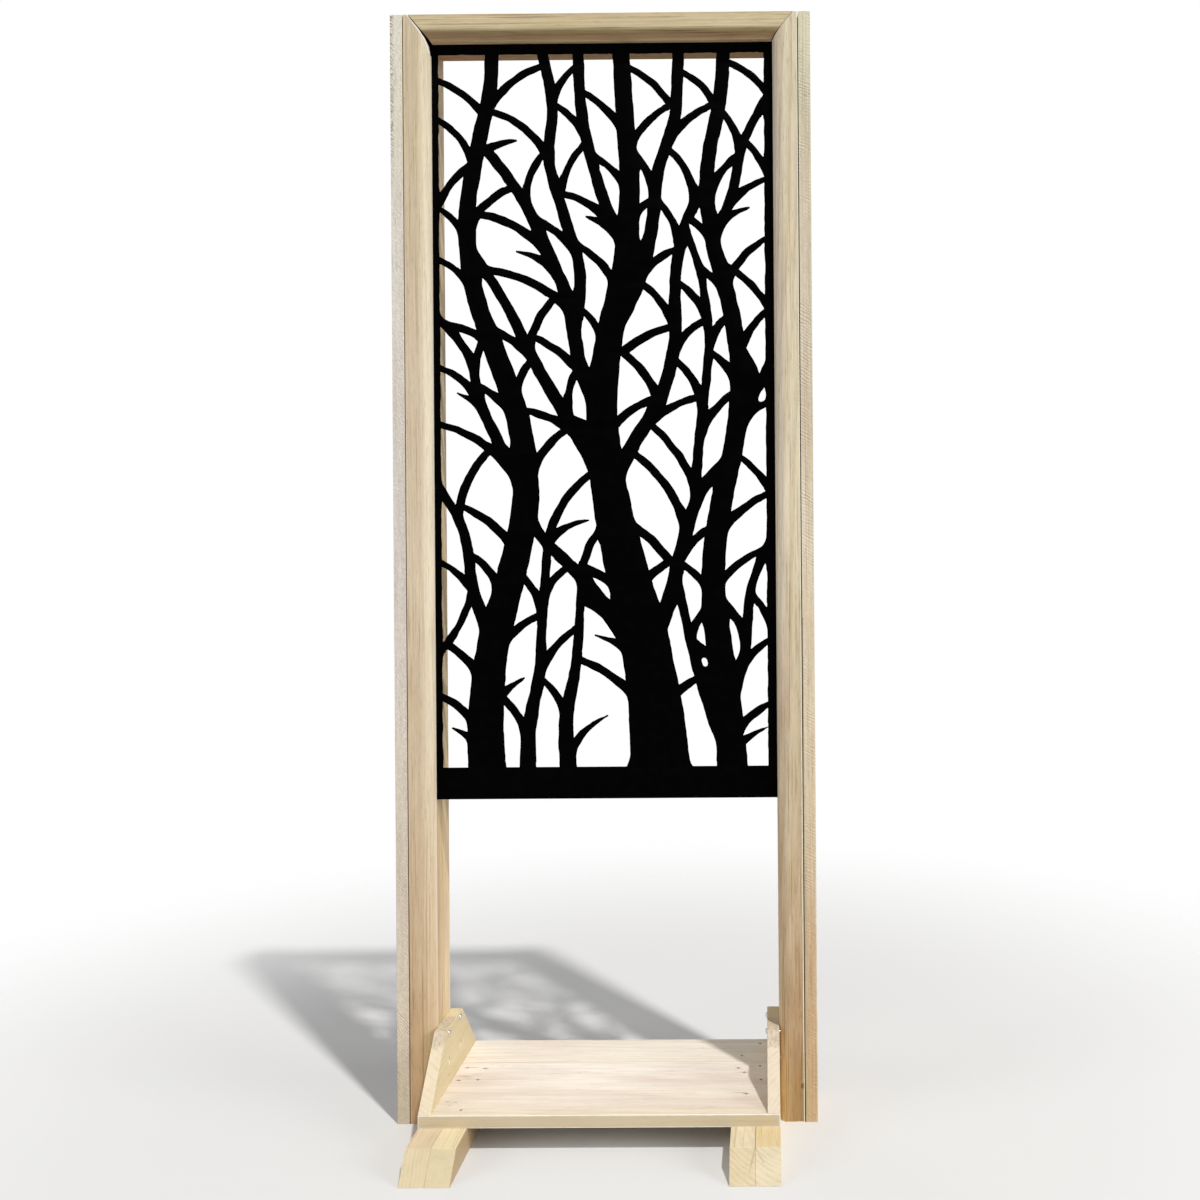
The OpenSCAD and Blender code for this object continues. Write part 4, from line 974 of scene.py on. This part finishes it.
me.materials.append(mat_zinc)
ob = bpy.data.objects.new("cross_screws", me)
scene.collection.objects.link(ob)
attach(ob, "root")
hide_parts("cleat_screws")

# ---------------------------------------------------------------- floor, light, camera
bm = bmesh.new()
bmesh.ops.create_circle(bm, cap_ends=True, radius=2.4, segments=96)
me = bpy.data.meshes.new("floor")
bm.to_mesh(me)
bm.free()
floor = bpy.data.objects.new("floor", me)
scene.collection.objects.link(floor)
n = Net("pale_floor")
pos = n.position()
d = n.vmath("LENGTH", pos)
n.bsdf.inputs["Base Color"].default_value = (0.68, 0.68, 0.68, 1)
n.bsdf.inputs["Roughness"].default_value = 0.8
n.bsdf.inputs["Specular IOR Level"].default_value = 0.1
n.put(n.bsdf.inputs["Alpha"], n.span(d, 0.6, 1.9, 1.0, 0.0))
me.materials.append(n.mat)

world = bpy.data.worlds.new("studio")
scene.world = world
world.use_nodes = True
nt = world.node_tree
nt.nodes.clear()
w_out = nt.nodes.new("ShaderNodeOutputWorld")
tc = nt.nodes.new("ShaderNodeTexCoord")
sx = nt.nodes.new("ShaderNodeSeparateXYZ")
mr = nt.nodes.new("ShaderNodeMapRange")
lit = nt.nodes.new("ShaderNodeBackground")
seen = nt.nodes.new("ShaderNodeBackground")
mixs = nt.nodes.new("ShaderNodeMixShader")
lp = nt.nodes.new("ShaderNodeLightPath")
nt.links.new(tc.outputs["Generated"], sx.inputs[0])
nt.links.new(sx.outputs[2], mr.inputs[0])
mr.inputs[1].default_value, mr.inputs[2].default_value = -0.15, 0.25
mr.inputs[3].default_value, mr.inputs[4].default_value = 0.08, 0.35
nt.links.new(mr.outputs[0], lit.inputs["Strength"])
lit.inputs["Color"].default_value = (1.0, 1.0, 1.0, 1)
seen.inputs["Color"].default_value = (1.0, 1.0, 1.0, 1)
seen.inputs["Strength"].default_value = 1.0
nt.links.new(lp.outputs["Is Camera Ray"], mixs.inputs[0])
nt.links.new(lit.outputs[0], mixs.inputs[1])
nt.links.new(seen.outputs[0], mixs.inputs[2])
nt.links.new(mixs.outputs[0], w_out.inputs[0])


def area(name, place, target, size, power, colour=(1, 1, 1)):
    li = bpy.data.lights.new(name, "AREA")
    li.shape, li.size, li.energy, li.color = "DISK", size, power, colour
    ob = bpy.data.objects.new(name, li)
    ob.location = place
    ob.rotation_euler = (Vector(target) - Vector(place)).to_track_quat("-Z", "Y").to_euler()
    scene.collection.objects.link(ob)
    return ob


li = bpy.data.lights.new("key", "SUN")
li.energy, li.angle, li.color = 2.25, math.radians(2.5), (1.0, 0.985, 0.96)
key = bpy.data.objects.new("key", li)
key.rotation_euler = Vector((-0.30, 0.38, -0.875)).to_track_quat("-Z", "Y").to_euler()
scene.collection.objects.link(key)
area("side", (4.0, -1.8, 1.6), (0, 0, 0.8), 2.4, 94, (1.0, 0.99, 0.97))
area("fill", (-3.8, -2.1, 1.9), (0, 0, 0.8), 2.6, 55, (0.97, 0.98, 1.0))
area("back", (-1.5, 3.6, 3.4), (0, 0, 0.9), 2.4, 12, (1.0, 1.0, 1.0))

cam_data = bpy.data.cameras.new("camera")
cam_data.sensor_width = 36.0
cam_data.sensor_fit = "HORIZONTAL"
cam_data.lens = 34.97
cam_data.shift_x = -0.135
cam_data.shift_y = -0.0285
cam_data.clip_start, cam_data.clip_end = 0.05, 60
cam = bpy.data.objects.new("camera", cam_data)
cam.matrix_world = (Matrix.Translation((0.2538, -1.841, 0.8615)) @ Matrix.Rotation(math.radians(0.27), 4, "Z")
                    @ Matrix.Rotation(math.radians(90), 4, "X") @ Matrix.Rotation(math.radians(-0.42), 4, "Z"))
scene.collection.objects.link(cam)
scene.camera = cam
scene.view_settings.view_transform = "Standard"
scene.view_settings.look = "None"
